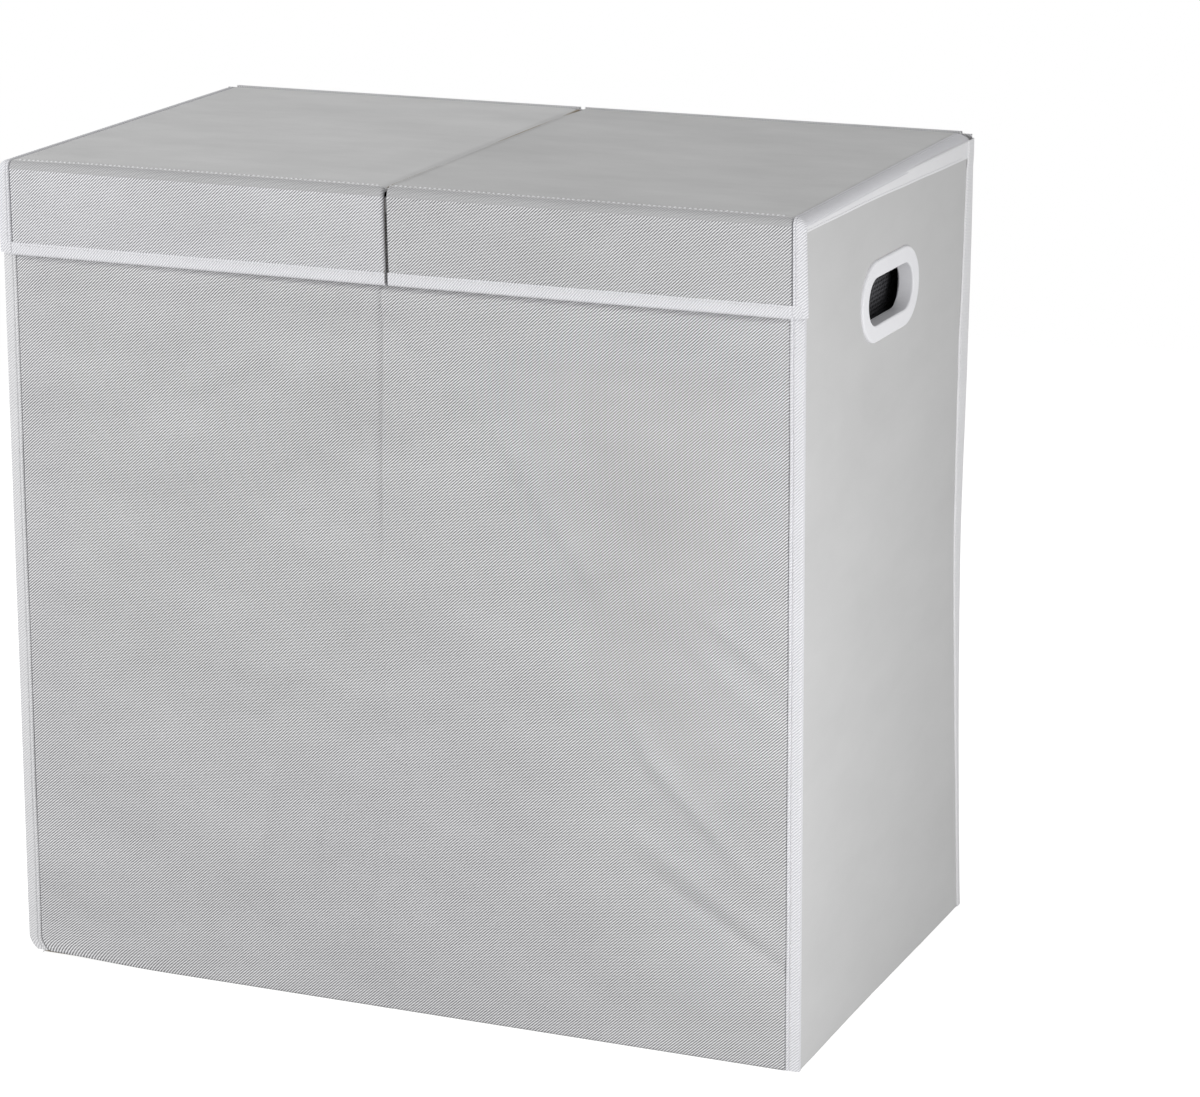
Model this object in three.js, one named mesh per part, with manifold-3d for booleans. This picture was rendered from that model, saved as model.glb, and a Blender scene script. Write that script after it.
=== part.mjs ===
// A two-bin laundry hamper: a cloth-covered board box with a divider, two lids that hinge along the
// back edge, a front flap on each lid, white binding tape on the seams, a plastic handle ring in
// each end wall, and a mesh bag hung in each bin.
//
// Millimetres. +X to the right, +Y to the back, +Z up. The origin is on the floor, under the middle.
// In names, side is -1 for the left and 1 for the right, and end is -1 for the front and 1 for the back.
import * as THREE from "three";
import { mergeVertices } from "three/addons/utils/BufferGeometryUtils.js";
import Module from "manifold-3d";

const wasm = await Module();
wasm.setup();

// Overall sizes, over the seam tapes
const overallWidth = 584.2;
const overallDepth = 330.2;
const overallHeight = 577.85;

// Sheet goods
const coverCloth = 0.6;
const liningCloth = 0.6;
const tapeCloth = 0.4;
const wallBoard = 3;
const lidBoard = 2.5;
const baseBoard = 3;
const dividerBoard = 3;

// Clearances
const plyGap = 0.1; // between two plies of one wall
const seatGap = 0.3; // under a piece that rests on another
const flapRun = 0.6; // between the flap's hem and the front wall's rim tape
const boardSplit = 2; // between the two boards of the front and of the back, at the fold
const lidSplit = 1.6; // between the two lids

// Bound seams of the lids and flaps: two plies stand out, lean over the wall and are wrapped in tape
const seamReach = 8;
const seamSetback = 2.5; // bare cloth between the lid's edge and the tape
const seamLeanDegrees = 10;

// Flat binding tapes
const rimTapeDrop = 9;
const hemTapeRise = 9;
const cornerTapeWide = 9; // its leg on the front at a front corner, and on the side at a back corner
const cornerTapeNarrow = 2.5; // its other leg

// Lid, flap and fold line
const flapDrop = 65;
const creaseInnerRadius = 4.6;
const foldGrooveHalf = 1.6;
const foldGrooveDepth = 0.3;

// Handle rings, each round a slot with round ends
const handleBelowTop = 81; // lid's top face to the middle of the slot
const handleSlotHeight = 32;
const handleSlotStraight = 52;
const handleSleeveWall = 2;
const handleRimWidth = 11.5; // from the slot's edge to the bezel's edge
const handleRimThickness = 2.2;
const handleRimEdge = 0.8; // bevel round the rim
const handleBackRimWidth = 9;
const handleLip = 0.6; // sleeve past the back ring

// Mesh bags
const bagMesh = 0.8;
const bagCornerRadius = 18;
const bagBelowTape = 1;
const bagSideClearance = 9; // end wall's lining to the bag, room for fingers
const bagDividerClearance = 3;
const hemBand = 0.7;
const hemHeight = 30;
const tabWidth = 60;
const tabHeight = 20;
const tabThickness = 1.1;
const tabBelowHemTop = 5;
const dividerBelowTape = 1;

// Webbing carry straps, sewn inside the hem
const strapWidth = 22;
const strapThickness = 1.6;
const strapSpan = 110; // between the middles of the two ends
const strapHang = 88;
const strapBend = 30;
const strapBelowHemTop = 8;

// Steps along round stretches
const seamTipSteps = 8;
const creaseSteps = 5;
const slotEndSteps = 14;
const bagCornerSteps = 6;
const strapBendSteps = 5;

// Tools of the cuts
const cutOverrun = 5;
const weldDistance = 1e-4;
const degree = Math.PI / 180;

// Derived sizes of the seams
const seamLean = seamLeanDegrees * degree;
const seamCos = Math.cos(seamLean);
const seamSin = Math.sin(seamLean);
const seamPlyOffset = (plyGap + coverCloth) / 2;
const seamTapeOffset = plyGap / 2 + coverCloth + plyGap + tapeCloth / 2;
const seamHalfStack = seamTapeOffset + tapeCloth / 2;
const seamBaseDepth = coverCloth + plyGap + coverCloth * Math.tan(seamLean) - plyGap / 2 / seamCos;
const seamOverhang = seamReach * seamCos + seamHalfStack;
const seamDepth = seamBaseDepth + seamReach * seamSin + seamHalfStack;

// Derived sizes of the lids. The hinge line lies just behind the back wall, so that an open lid and
// its hem tape hang clear of it.
const tapeProud = plyGap + tapeCloth; // how far a flat tape stands off the cloth that it binds
const boardIn = coverCloth + plyGap; // cloth's outer face to the board
const lidThickness = 2 * boardIn + lidBoard;
const lidHalf = overallWidth / 2 - seamOverhang;
const creaseRadius = seamDepth + creaseInnerRadius;
const bodyBack = overallDepth / 2;
const hingeY = bodyBack + tapeProud + seatGap;
const flapFaceY = -overallDepth / 2 + tapeProud;
const lidDepth = hingeY - flapFaceY;
const lidBackGap = hingeY - bodyBack + coverCloth + seatGap;
const flapPlyEnd = flapDrop - tapeProud;

// Derived sizes of the box
const liningIn = boardIn + wallBoard + plyGap; // cloth's outer face to the lining
const wallThickness = liningIn + liningCloth;
const bodyHalf = overallWidth / 2 - plyGap - handleRimThickness; // the handle's bezel is the widest
const bodyFront = flapFaceY + lidThickness + tapeProud + flapRun + tapeProud;
const rimTop = overallHeight - seamDepth - seatGap; // the lids' seams lie on the side walls
const wallTop = rimTop - tapeProud;
const frontTop = wallTop - (creaseRadius - lidThickness); // the front wall ends under the crease
const cornerTop = wallTop - rimTapeDrop - seatGap; // the back corner tapes end under the rim tapes
const wallBottom = coverCloth + seatGap;
const coverBottom = coverCloth + plyGap;
const roomHalf = bodyHalf - wallThickness;
const roomFront = bodyFront + wallThickness;
const roomBack = bodyBack - wallThickness;
const roomDepth = roomBack - roomFront;
const roomMiddleY = (roomFront + roomBack) / 2;

// Derived sizes of the bins
const dividerHalf = dividerBoard / 2 + boardIn;
const dividerTop = frontTop - rimTapeDrop - dividerBelowTape;
const baseTop = wallBottom + baseBoard;
const bagWallClearance = 2 * (seatGap + tabThickness) + plyGap;
const bagSkinIn = hemBand + plyGap; // hem's outer face to the mesh
const hemStack = 2 * bagSkinIn + bagMesh;
const bagInnerX = dividerHalf + bagDividerClearance;
const bagOuterX = roomHalf - bagSideClearance;
const bagHalfX = (bagOuterX - bagInnerX) / 2;
const bagMiddleX = (bagOuterX + bagInnerX) / 2;
const bagHalfY = roomDepth / 2 - bagWallClearance;
const bagTop = frontTop - rimTapeDrop - bagBelowTape;
const bagBottom = baseTop + seatGap;
const handleZ = overallHeight - handleBelowTop;
const handleSlotRadius = handleSlotHeight / 2;
const handleHoleRadius = handleSlotRadius + handleSleeveWall + seatGap;

// Materials
const matte = (color, roughness) => new THREE.MeshStandardMaterial({ color, roughness, metalness: 0 });
const greyCloth = () => matte(0xbcbebd, 0.9);
const liningFelt = () => matte(0xb4b6b5, 0.95);
const whiteTape = () => matte(0xe9e9ec, 0.85);
const greyboard = () => matte(0x9c8f7c, 0.95);
const whitePlastic = () => matte(0xf0f0f2, 0.4);
const blackMesh = () => matte(0x1b1b1d, 0.8);
const blackWebbing = () => matte(0x222224, 0.85);
const hookFastener = () => matte(0x2a2a2c, 0.95);

// A closed body from points and triangles that all turn the same way, its faces turned outwards
function closedBody(points, triangles) {
  let volume = 0;
  for (const [a, b, c] of triangles) {
    const [p, q, r] = [points[a], points[b], points[c]];
    volume += p[0] * (q[1] * r[2] - q[2] * r[1]);
    volume += p[1] * (q[2] * r[0] - q[0] * r[2]);
    volume += p[2] * (q[0] * r[1] - q[1] * r[0]);
  }
  const outward = volume < 0 ? triangles.map(([a, b, c]) => [a, c, b]) : triangles;
  const geometry = new THREE.BufferGeometry();
  geometry.setAttribute("position", new THREE.Float32BufferAttribute(points.flat(), 3));
  geometry.setIndex(outward.flat());
  return geometry;
}

// The outline of a strip of even thickness along an open line of points
function strip(line, thickness) {
  const half = thickness / 2;
  const normal = ([x0, y0], [x1, y1]) => {
    const length = Math.hypot(x1 - x0, y1 - y0);
    return [-(y1 - y0) / length, (x1 - x0) / length];
  };
  const left = [];
  const right = [];
  line.forEach(([x, y], i) => {
    const before = i > 0 ? normal(line[i - 1], line[i]) : normal(line[0], line[1]);
    const after = i < line.length - 1 ? normal(line[i], line[i + 1]) : before;
    const mitre = 1 + before[0] * after[0] + before[1] * after[1];
    const [nx, ny] = [(before[0] + after[0]) / mitre, (before[1] + after[1]) / mitre];
    left.push([x + nx * half, y + ny * half]);
    right.push([x - nx * half, y - ny * half]);
  });
  return [...left, ...right.reverse()];
}

const vectors = (outline) => outline.map(([x, y]) => new THREE.Vector2(x, y));
const run = (shape, depth) => new THREE.ExtrudeGeometry(shape, { depth, bevelEnabled: false });

// An outline of (x, y) points stood up along Z
function upright(outline, bottom, top, hole = null) {
  const shape = new THREE.Shape(vectors(outline));
  if (hole) shape.holes.push(new THREE.Path(vectors(hole)));
  return run(shape, top - bottom).translate(0, 0, bottom);
}

// An outline of (y, z) points run along X
function alongX(outline, start, end) {
  const turned = new THREE.Matrix4().makeBasis(
    new THREE.Vector3(0, 1, 0),
    new THREE.Vector3(0, 0, 1),
    new THREE.Vector3(1, 0, 0),
  );
  return run(new THREE.Shape(vectors(outline)), end - start).applyMatrix4(turned).translate(start, 0, 0);
}

// An outline of (x, z) points run along Y
function alongY(outline, start, end) {
  return run(new THREE.Shape(vectors(outline)), end - start).rotateX(Math.PI / 2).translate(0, end, 0);
}

// A box between two corners
function block([x0, y0, z0], [x1, y1, z1]) {
  const geometry = new THREE.BoxGeometry(x1 - x0, y1 - y0, z1 - z0);
  return geometry.translate((x0 + x1) / 2, (y0 + y1) / 2, (z0 + z1) / 2);
}

// An outline of (x, depth) points carried over a path in the YZ plane, depth counting inwards
function carried(outline, path) {
  const clockwise = THREE.ShapeUtils.isClockWise(vectors(outline));
  const section = clockwise ? [...outline].reverse() : outline;
  const points = path.flatMap(({ y, z, normalY, normalZ }) =>
    section.map(([x, depth]) => [x, y - normalY * depth, z - normalZ * depth]),
  );
  const count = section.length;
  const last = (path.length - 1) * count;
  const triangles = [];
  for (let start = 0; start < last; start += count) {
    for (let i = 0; i < count; i++) {
      const [a, b] = [start + i, start + ((i + 1) % count)];
      triangles.push([a, b, b + count], [a, b + count, a + count]);
    }
  }
  for (const [a, b, c] of THREE.ShapeUtils.triangulateShape(vectors(section), [])) {
    triangles.push([a, c, b], [last + a, last + b, last + c]);
  }
  return closedBody(points, triangles);
}

// The quarter turns round a rectangle with round corners: the corner's signs and the angle
function roundCorners(cornerSteps) {
  const signs = [
    [1, 1],
    [-1, 1],
    [-1, -1],
    [1, -1],
  ];
  return signs.flatMap(([signX, signY], corner) =>
    Array.from({ length: cornerSteps + 1 }, (_, step) => ({
      signX,
      signY,
      angle: ((corner + step / cornerSteps) * Math.PI) / 2,
    })),
  );
}

// The outline of a rectangle with round corners
function roundOutline(straightX, straightY, radius, cornerSteps) {
  return roundCorners(cornerSteps).map(({ signX, signY, angle }) => [
    signX * straightX + radius * Math.cos(angle),
    signY * straightY + radius * Math.sin(angle),
  ]);
}

// A section of (reach, lift) points carried round that outline, about the Z axis
function roundRing(section, straightX, straightY, radius, cornerSteps) {
  const points = roundCorners(cornerSteps).flatMap(({ signX, signY, angle }) =>
    section.map(([reach, lift]) => [
      signX * straightX + (radius + reach) * Math.cos(angle),
      signY * straightY + (radius + reach) * Math.sin(angle),
      lift,
    ]),
  );
  const count = section.length;
  const triangles = [];
  for (let start = 0; start < points.length; start += count) {
    const next = (start + count) % points.length;
    for (let i = 0; i < count; i++) {
      const j = (i + 1) % count;
      triangles.push([start + i, start + j, next + j], [start + i, next + j, next + i]);
    }
  }
  return closedBody(points, triangles);
}

// Cutting closed geometries out of another
function solidOf(geometry) {
  const bare = geometry.clone();
  bare.deleteAttribute("normal");
  bare.deleteAttribute("uv");
  const merged = mergeVertices(bare, weldDistance);
  return new wasm.Manifold(
    new wasm.Mesh({
      numProp: 3,
      vertProperties: merged.attributes.position.array,
      triVerts: new Uint32Array(merged.index.array),
    }),
  );
}

function cutAway(geometry, ...tools) {
  let solid = solidOf(geometry);
  for (const tool of tools) solid = solid.subtract(solidOf(tool));
  const mesh = solid.getMesh();
  const made = new THREE.BufferGeometry();
  made.setAttribute("position", new THREE.BufferAttribute(mesh.vertProperties, 3));
  made.setIndex(new THREE.BufferAttribute(mesh.triVerts, 1));
  return made;
}

function piece(group, name, geometry, material, place = [0, 0, 0]) {
  const mesh = new THREE.Mesh(geometry, material);
  mesh.name = name;
  mesh.position.set(...place);
  group.add(mesh);
}

const handOf = (side) => (side < 0 ? "left" : "right");
const endOf = (end) => (end < 0 ? "front" : "back");

// Two distances from the middle plane, as a low and a high coordinate on one side of it
const span = (sign, near, far) => (sign < 0 ? [-far, -near] : [near, far]);

// Points of a bound seam: how far out from the corner that it grows from, and how deep behind the
// face. An offset above 0 is on the face's side of the seam.
const seamPoint = (along, offset) => [
  along * seamCos + offset * seamSin,
  seamBaseDepth + along * seamSin - offset * seamCos,
];
const faceBend = (coverCloth / 2 - seamBaseDepth + seamPlyOffset * seamCos) / seamSin;
const wrapBend = (-coverCloth / 2 + seamPlyOffset * seamSin) / seamCos;
const facePly = [seamPoint(faceBend, seamPlyOffset), seamPoint(seamReach, seamPlyOffset)];
const wrapPly = [seamPoint(wrapBend, -seamPlyOffset), seamPoint(seamReach, -seamPlyOffset)];

function seamTapeLine() {
  const line = [seamPoint(seamSetback, seamTapeOffset)];
  for (let step = 0; step <= seamTipSteps; step++) {
    const angle = (1 / 2 - step / seamTipSteps) * Math.PI;
    const [out, lift] = [seamTapeOffset * Math.cos(angle), seamTapeOffset * Math.sin(angle)];
    line.push(seamPoint(seamReach + out, lift));
  }
  line.push(seamPoint(seamSetback, -seamTapeOffset));
  return line;
}
const seamTape = strip(seamTapeLine(), tapeCloth);

// The fold line down the middle of the front and the back, where two boards meet
function foldGroove(faceY, end) {
  const outline = [
    [-foldGrooveHalf, faceY + end * foldGrooveDepth],
    [foldGrooveHalf, faceY + end * foldGrooveDepth],
    [0, faceY - end * foldGrooveDepth],
  ];
  return upright(outline, coverBottom - cutOverrun, overallHeight + cutOverrun);
}

// The covers of the box. The front and the back run across the whole width, and the side covers
// stand between them.
function wideCover(end) {
  const [front, back] = end < 0 ? [bodyFront, bodyFront + coverCloth] : [bodyBack - coverCloth, bodyBack];
  const top = end < 0 ? frontTop : overallHeight - seatGap;
  const cloth = block([-bodyHalf, front, coverBottom], [bodyHalf, back, top]);
  return cutAway(cloth, foldGroove(end < 0 ? front : back, end));
}

function handleCutter(side) {
  const outline = roundOutline(handleSlotStraight / 2, 0, handleHoleRadius, slotEndSteps);
  const [start, end] = span(side, roomHalf - cutOverrun, bodyHalf + cutOverrun);
  return alongX(outline, start, end).translate(0, 0, handleZ);
}

function endCover(side) {
  const [x0, x1] = span(side, bodyHalf - coverCloth, bodyHalf);
  const cloth = block([x0, bodyFront + boardIn, coverBottom], [x1, bodyBack - boardIn, wallTop]);
  return cutAway(cloth, handleCutter(side));
}

// A tape laid round a corner of the box: its wide leg is on the front wall or, at the back, on the side
function cornerTape(side, end) {
  const off = plyGap + tapeCloth / 2;
  const [acrossLeg, sideLeg] =
    end < 0 ? [cornerTapeWide, cornerTapeNarrow] : [cornerTapeNarrow, cornerTapeWide];
  const [cornerX, cornerY] = [side * (bodyHalf + off), end < 0 ? bodyFront - off : bodyBack + off];
  const line = [
    [cornerX - side * acrossLeg, cornerY],
    [cornerX, cornerY],
    [cornerX, cornerY - end * sideLeg],
  ];
  return upright(strip(line, tapeCloth), coverBottom, end < 0 ? frontTop : cornerTop);
}

// A tape folded over a wall's top edge, between its outer and its inner face
function rimTape(outer, inner, top) {
  const low = top - rimTapeDrop;
  const middle = top + plyGap + tapeCloth / 2;
  const outward = Math.sign(outer - inner);
  const off = outward * (plyGap + tapeCloth / 2);
  const line = [
    [outer + off, low],
    [outer + off, middle],
    [inner - off, middle],
    [inner - off, low],
  ];
  return strip(line, tapeCloth);
}

const casing = new THREE.Group();

function addWideWalls() {
  piece(casing, "front_cover", wideCover(-1), greyCloth());
  piece(casing, "back_cover", wideCover(1), greyCloth());
  for (const side of [-1, 1]) {
    const [x0, x1] = span(side, boardSplit / 2, bodyHalf - boardIn);
    const [front, back] = [bodyFront + boardIn, bodyBack - boardIn];
    const frontBoard = block([x0, front, wallBottom], [x1, front + wallBoard, frontTop]);
    const backBoard = block([x0, back - wallBoard, wallBottom], [x1, back, wallTop]);
    piece(casing, `front_${handOf(side)}_board`, frontBoard, greyboard());
    piece(casing, `back_${handOf(side)}_board`, backBoard, greyboard());
  }
  const tapeHalf = bodyHalf + tapeProud - tapeCloth / 2 - cornerTapeWide - seatGap;
  const tape = alongX(rimTape(bodyFront, roomFront, frontTop), -tapeHalf, tapeHalf);
  piece(casing, "front_rim_tape", tape, whiteTape());
}

function addEndWall(side) {
  const hand = handOf(side);
  const [x0, x1] = span(side, bodyHalf - boardIn - wallBoard, bodyHalf - boardIn);
  const board = block([x0, bodyFront + liningIn, wallBottom], [x1, bodyBack - liningIn, wallTop]);
  piece(casing, `${hand}_side_cover`, endCover(side), greyCloth());
  piece(casing, `${hand}_side_board`, cutAway(board, handleCutter(side)), greyboard());

  const tapeFront = roomFront + tapeProud + seatGap;
  const tape = rimTape(side * bodyHalf, side * roomHalf, wallTop);
  piece(casing, `${hand}_rim_tape`, alongY(tape, tapeFront, roomBack - seatGap), whiteTape());
  for (const end of [-1, 1]) {
    piece(casing, `${endOf(end)}_${hand}_seam_tape`, cornerTape(side, end), whiteTape());
  }
}

function addFloorAndLining() {
  const floor = block([-bodyHalf, bodyFront, 0], [bodyHalf, bodyBack, coverCloth]);
  piece(casing, "floor_cover", floor, greyCloth());
  const corners = (x, front, back) => [
    [x, back],
    [-x, back],
    [-x, front],
    [x, front],
  ];
  const outer = corners(roomHalf + liningCloth, roomFront - liningCloth, roomBack + liningCloth);
  const inner = corners(roomHalf, roomFront, roomBack);
  const wall = upright(outer, wallBottom, wallTop, inner);
  const frontTrim = block(
    [-bodyHalf, roomFront - liningCloth - cutOverrun, frontTop],
    [bodyHalf, roomFront, wallTop + cutOverrun],
  );
  const lining = cutAway(wall, frontTrim, handleCutter(-1), handleCutter(1));
  piece(casing, "inner_lining", lining, liningFelt());
}

// The divider: a board in a cloth sleeve, standing on the floor between the front and the back
function addDivider() {
  const [front, back] = [roomFront + seatGap, roomBack - seatGap];
  const half = dividerBoard / 2;
  const board = block([-half, front, wallBottom], [half, back, dividerTop - boardIn]);
  const middle = half + plyGap + coverCloth / 2;
  const line = [
    [-middle, wallBottom],
    [-middle, dividerTop - coverCloth / 2],
    [middle, dividerTop - coverCloth / 2],
    [middle, wallBottom],
  ];
  piece(casing, "divider_board", board, greyboard());
  piece(casing, "divider_sleeve", alongY(strip(line, coverCloth), front, back), liningFelt());
}

// Handle rings: a bezel with a sleeve through the wall, and a ring pushed onto it from inside.
// Their sections are (reach from the slot's edge, lift from the wall's outer face).
function bezelSection() {
  const face = plyGap + handleRimThickness;
  const back = -wallThickness - plyGap - handleRimThickness - handleLip;
  return [
    [handleRimEdge / 2, face],
    [handleRimWidth - handleRimEdge, face],
    [handleRimWidth, face - handleRimEdge],
    [handleRimWidth, plyGap],
    [handleSleeveWall, plyGap],
    [handleSleeveWall, back],
    [0, back],
    [0, face - handleRimEdge / 2],
  ];
}

function backRingSection() {
  const front = -wallThickness - plyGap;
  const back = front - handleRimThickness;
  const inner = handleSleeveWall + plyGap;
  const outer = handleSleeveWall + handleBackRimWidth;
  return [
    [inner, front],
    [outer, front],
    [outer, back + handleRimEdge],
    [outer - handleRimEdge, back],
    [inner, back],
  ];
}

// A slot-shaped ring laid in an end wall, its lift pointing out of the box
function handlePart(section, side) {
  const ring = roundRing(section, handleSlotStraight / 2, 0, handleSlotRadius, slotEndSteps);
  const turned = new THREE.Matrix4().makeBasis(
    new THREE.Vector3(0, side, 0),
    new THREE.Vector3(0, 0, 1),
    new THREE.Vector3(side, 0, 0),
  );
  return ring.applyMatrix4(turned);
}

function addHandle(side) {
  const place = [side * bodyHalf, 0, handleZ];
  piece(casing, `${handOf(side)}_handle_bezel`, handlePart(bezelSection(), side), whitePlastic(), place);
  piece(casing, `${handOf(side)}_handle_ring`, handlePart(backRingSection(), side), whitePlastic(), place);
}

// Mesh bags, made about their own middle
const bagStraightX = bagHalfX - bagCornerRadius;
const bagStraightY = bagHalfY - bagCornerRadius;

const bagOutline = (inset) =>
  roundOutline(bagStraightX, bagStraightY, bagCornerRadius - inset, bagCornerSteps);
const bagFloor = () => upright(bagOutline(bagSkinIn), bagBottom, bagBottom + bagMesh);

function bagWall() {
  const [outer, inner] = [bagOutline(bagSkinIn), bagOutline(bagSkinIn + bagMesh)];
  return upright(outer, bagBottom + bagMesh + seatGap, bagTop - bagSkinIn, inner);
}

function bagHem() {
  const low = bagTop - hemHeight;
  const section = [
    [0, low],
    [0, bagTop],
    [-hemStack, bagTop],
    [-hemStack, low],
    [-hemStack + hemBand, low],
    [-hemStack + hemBand, bagTop - hemBand],
    [-hemBand, bagTop - hemBand],
    [-hemBand, low],
  ];
  return roundRing(section, bagStraightX, bagStraightY, bagCornerRadius, bagCornerSteps);
}

// The strap hangs down from its stitching at the origin, flat against the bag, and faces +Y
function carryStrap() {
  const half = strapSpan / 2;
  const bottom = -strapHang + strapWidth / 2;
  const line = [[-half, 0]];
  for (let step = 0; step <= strapBendSteps; step++) {
    const angle = (1 + step / strapBendSteps / 2) * Math.PI;
    const [across, down] = [strapBend * Math.cos(angle), strapBend * Math.sin(angle)];
    line.push([-half + strapBend + across, bottom + strapBend + down]);
  }
  const mirrored = line.map(([x, z]) => [-x, z]).reverse();
  return alongY(strip([...line, ...mirrored], strapWidth), 0, strapThickness);
}

const straps = new THREE.Group();

function addBin(side) {
  const hand = handOf(side);
  const [x0, x1] = span(side, dividerHalf + seatGap, roomHalf - seatGap);
  const base = block([x0, roomFront + seatGap, wallBottom], [x1, roomBack - seatGap, baseTop]);
  piece(casing, `${hand}_base_board`, base, greyboard());

  const bag = new THREE.Group();
  bag.position.set(side * bagMiddleX, roomMiddleY, 0);
  casing.add(bag);
  piece(bag, `${hand}_bag_floor`, bagFloor(), blackMesh());
  piece(bag, `${hand}_bag_mesh`, bagWall(), blackMesh());
  piece(bag, `${hand}_bag_hem`, bagHem(), blackWebbing());

  const tabZ = bagTop - tabBelowHemTop - tabHeight / 2;
  for (const end of [-1, 1]) {
    const tab = () => new THREE.BoxGeometry(tabWidth, tabThickness, tabHeight);
    const hookY = end * (roomDepth / 2 - seatGap - tabThickness / 2);
    const loopY = end * (bagHalfY + seatGap + tabThickness / 2);
    piece(bag, `${hand}_${endOf(end)}_hook_tab`, tab(), hookFastener(), [0, hookY, tabZ]);
    piece(bag, `${hand}_${endOf(end)}_loop_tab`, tab(), hookFastener(), [0, loopY, tabZ]);

    const stitching = new THREE.Group();
    const stitchY = end * (bagHalfY - hemStack - seatGap);
    stitching.position.set(side * bagMiddleX, roomMiddleY + stitchY, bagTop - strapBelowHemTop);
    stitching.rotation.z = end < 0 ? 0 : Math.PI;
    straps.add(stitching);
    piece(stitching, `${hand}_${endOf(end)}_strap`, carryStrap(), blackWebbing());
  }
}

// Lids and flaps. One cloth is folded round the board at the split and bound at the outer edge, and
// it runs over the front crease from the lid into its flap.
function lidCoverOutline(side) {
  const fold = lidSplit / 2 + coverCloth / 2;
  const under = lidThickness - coverCloth / 2;
  const onLid = ([out, depth]) => [lidHalf + out, depth];
  const line = [
    ...facePly.map(onLid).reverse(),
    [fold, coverCloth / 2],
    [fold, under],
    [lidHalf - coverCloth / 2, under],
    ...wrapPly.map(onLid),
  ];
  return strip(line, coverCloth).map(([x, depth]) => [side * x, depth]);
}

const lidTapeOutline = (side) => seamTape.map(([out, depth]) => [side * (lidHalf + out), depth]);

// Paths in the YZ plane: the lid's from its hinge, the flap's from the outer corner of the crease.
// Each takes half of the crease.
function creaseArc(from, to, centreY) {
  return Array.from({ length: creaseSteps + 1 }, (_, step) => {
    const angle = from + ((to - from) * step) / creaseSteps;
    const [normalY, normalZ] = [-Math.sin(angle), Math.cos(angle)];
    const [y, z] = [centreY + creaseRadius * normalY, creaseRadius * (normalZ - 1)];
    return { y, z, normalY, normalZ };
  });
}

const creaseHalfGap = seatGap / 2 / creaseRadius;
const lidPath = [
  { y: -lidBackGap, z: 0, normalY: 0, normalZ: 1 },
  ...creaseArc(0, Math.PI / 4 - creaseHalfGap, -lidDepth + creaseRadius),
];
const flapPath = (drop) => [
  ...creaseArc(Math.PI / 4 + creaseHalfGap, Math.PI / 2, creaseRadius),
  { y: 0, z: -drop, normalY: -1, normalZ: 0 },
];

function hemTape(side) {
  const outer = -plyGap - tapeCloth / 2;
  const inner = lidThickness + plyGap + tapeCloth / 2;
  const low = -flapDrop + tapeCloth / 2;
  const high = -flapDrop + hemTapeRise;
  const line = [
    [outer, high],
    [outer, low],
    [inner, low],
    [inner, high],
  ];
  return alongX(strip(line, tapeCloth), ...span(side, lidSplit / 2, lidHalf));
}

const lids = new THREE.Group();

function addLid(side) {
  const hand = handOf(side);
  const [x0, x1] = span(side, lidSplit / 2 + boardIn, lidHalf - boardIn);
  const lid = new THREE.Group();
  lid.position.set(0, hingeY, overallHeight);
  lids.add(lid);
  const lidFront = -lidDepth + creaseRadius;
  const lidInside = block([x0, lidFront, -boardIn - lidBoard], [x1, -lidBackGap, -boardIn]);
  piece(lid, `${hand}_lid_cover`, carried(lidCoverOutline(side), lidPath), greyCloth());
  piece(lid, `${hand}_lid_board`, lidInside, greyboard());
  piece(lid, `${hand}_lid_seam_tape`, carried(lidTapeOutline(side), lidPath), whiteTape());

  const flap = new THREE.Group();
  flap.position.set(0, -lidDepth, 0);
  lid.add(flap);
  const flapInside = block([x0, boardIn, -flapPlyEnd], [x1, boardIn + lidBoard, -creaseRadius]);
  piece(flap, `${hand}_flap_cover`, carried(lidCoverOutline(side), flapPath(flapPlyEnd)), greyCloth());
  piece(flap, `${hand}_flap_board`, flapInside, greyboard());
  piece(flap, `${hand}_flap_seam_tape`, carried(lidTapeOutline(side), flapPath(flapDrop)), whiteTape());
  piece(flap, `${hand}_flap_hem_tape`, hemTape(side), whiteTape());
}

addWideWalls();
addFloorAndLining();
addDivider();
for (const side of [-1, 1]) {
  addEndWall(side);
  addHandle(side);
  addBin(side);
  addLid(side);
}

const hamper = new THREE.Group();
hamper.add(casing, straps, lids);
export default hamper;
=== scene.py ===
import math

import bmesh
import bpy
from mathutils import Matrix, Vector, noise


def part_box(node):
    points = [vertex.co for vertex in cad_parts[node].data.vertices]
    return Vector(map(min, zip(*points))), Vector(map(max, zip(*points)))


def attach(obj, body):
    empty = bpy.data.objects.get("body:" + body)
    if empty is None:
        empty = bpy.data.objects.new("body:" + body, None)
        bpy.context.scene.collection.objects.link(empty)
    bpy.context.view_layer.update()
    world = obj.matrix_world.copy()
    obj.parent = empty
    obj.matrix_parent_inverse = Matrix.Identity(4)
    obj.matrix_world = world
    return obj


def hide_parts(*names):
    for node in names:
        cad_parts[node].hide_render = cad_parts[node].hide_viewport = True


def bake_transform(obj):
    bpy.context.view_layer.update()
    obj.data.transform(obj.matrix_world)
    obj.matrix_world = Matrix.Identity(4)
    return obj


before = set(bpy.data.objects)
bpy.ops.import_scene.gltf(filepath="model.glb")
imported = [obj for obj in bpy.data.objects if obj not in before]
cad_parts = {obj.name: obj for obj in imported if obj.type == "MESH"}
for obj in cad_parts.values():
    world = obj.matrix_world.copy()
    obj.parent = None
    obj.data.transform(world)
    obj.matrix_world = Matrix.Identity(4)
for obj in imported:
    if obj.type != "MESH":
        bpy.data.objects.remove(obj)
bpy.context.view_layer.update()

MM = 0.001
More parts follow.
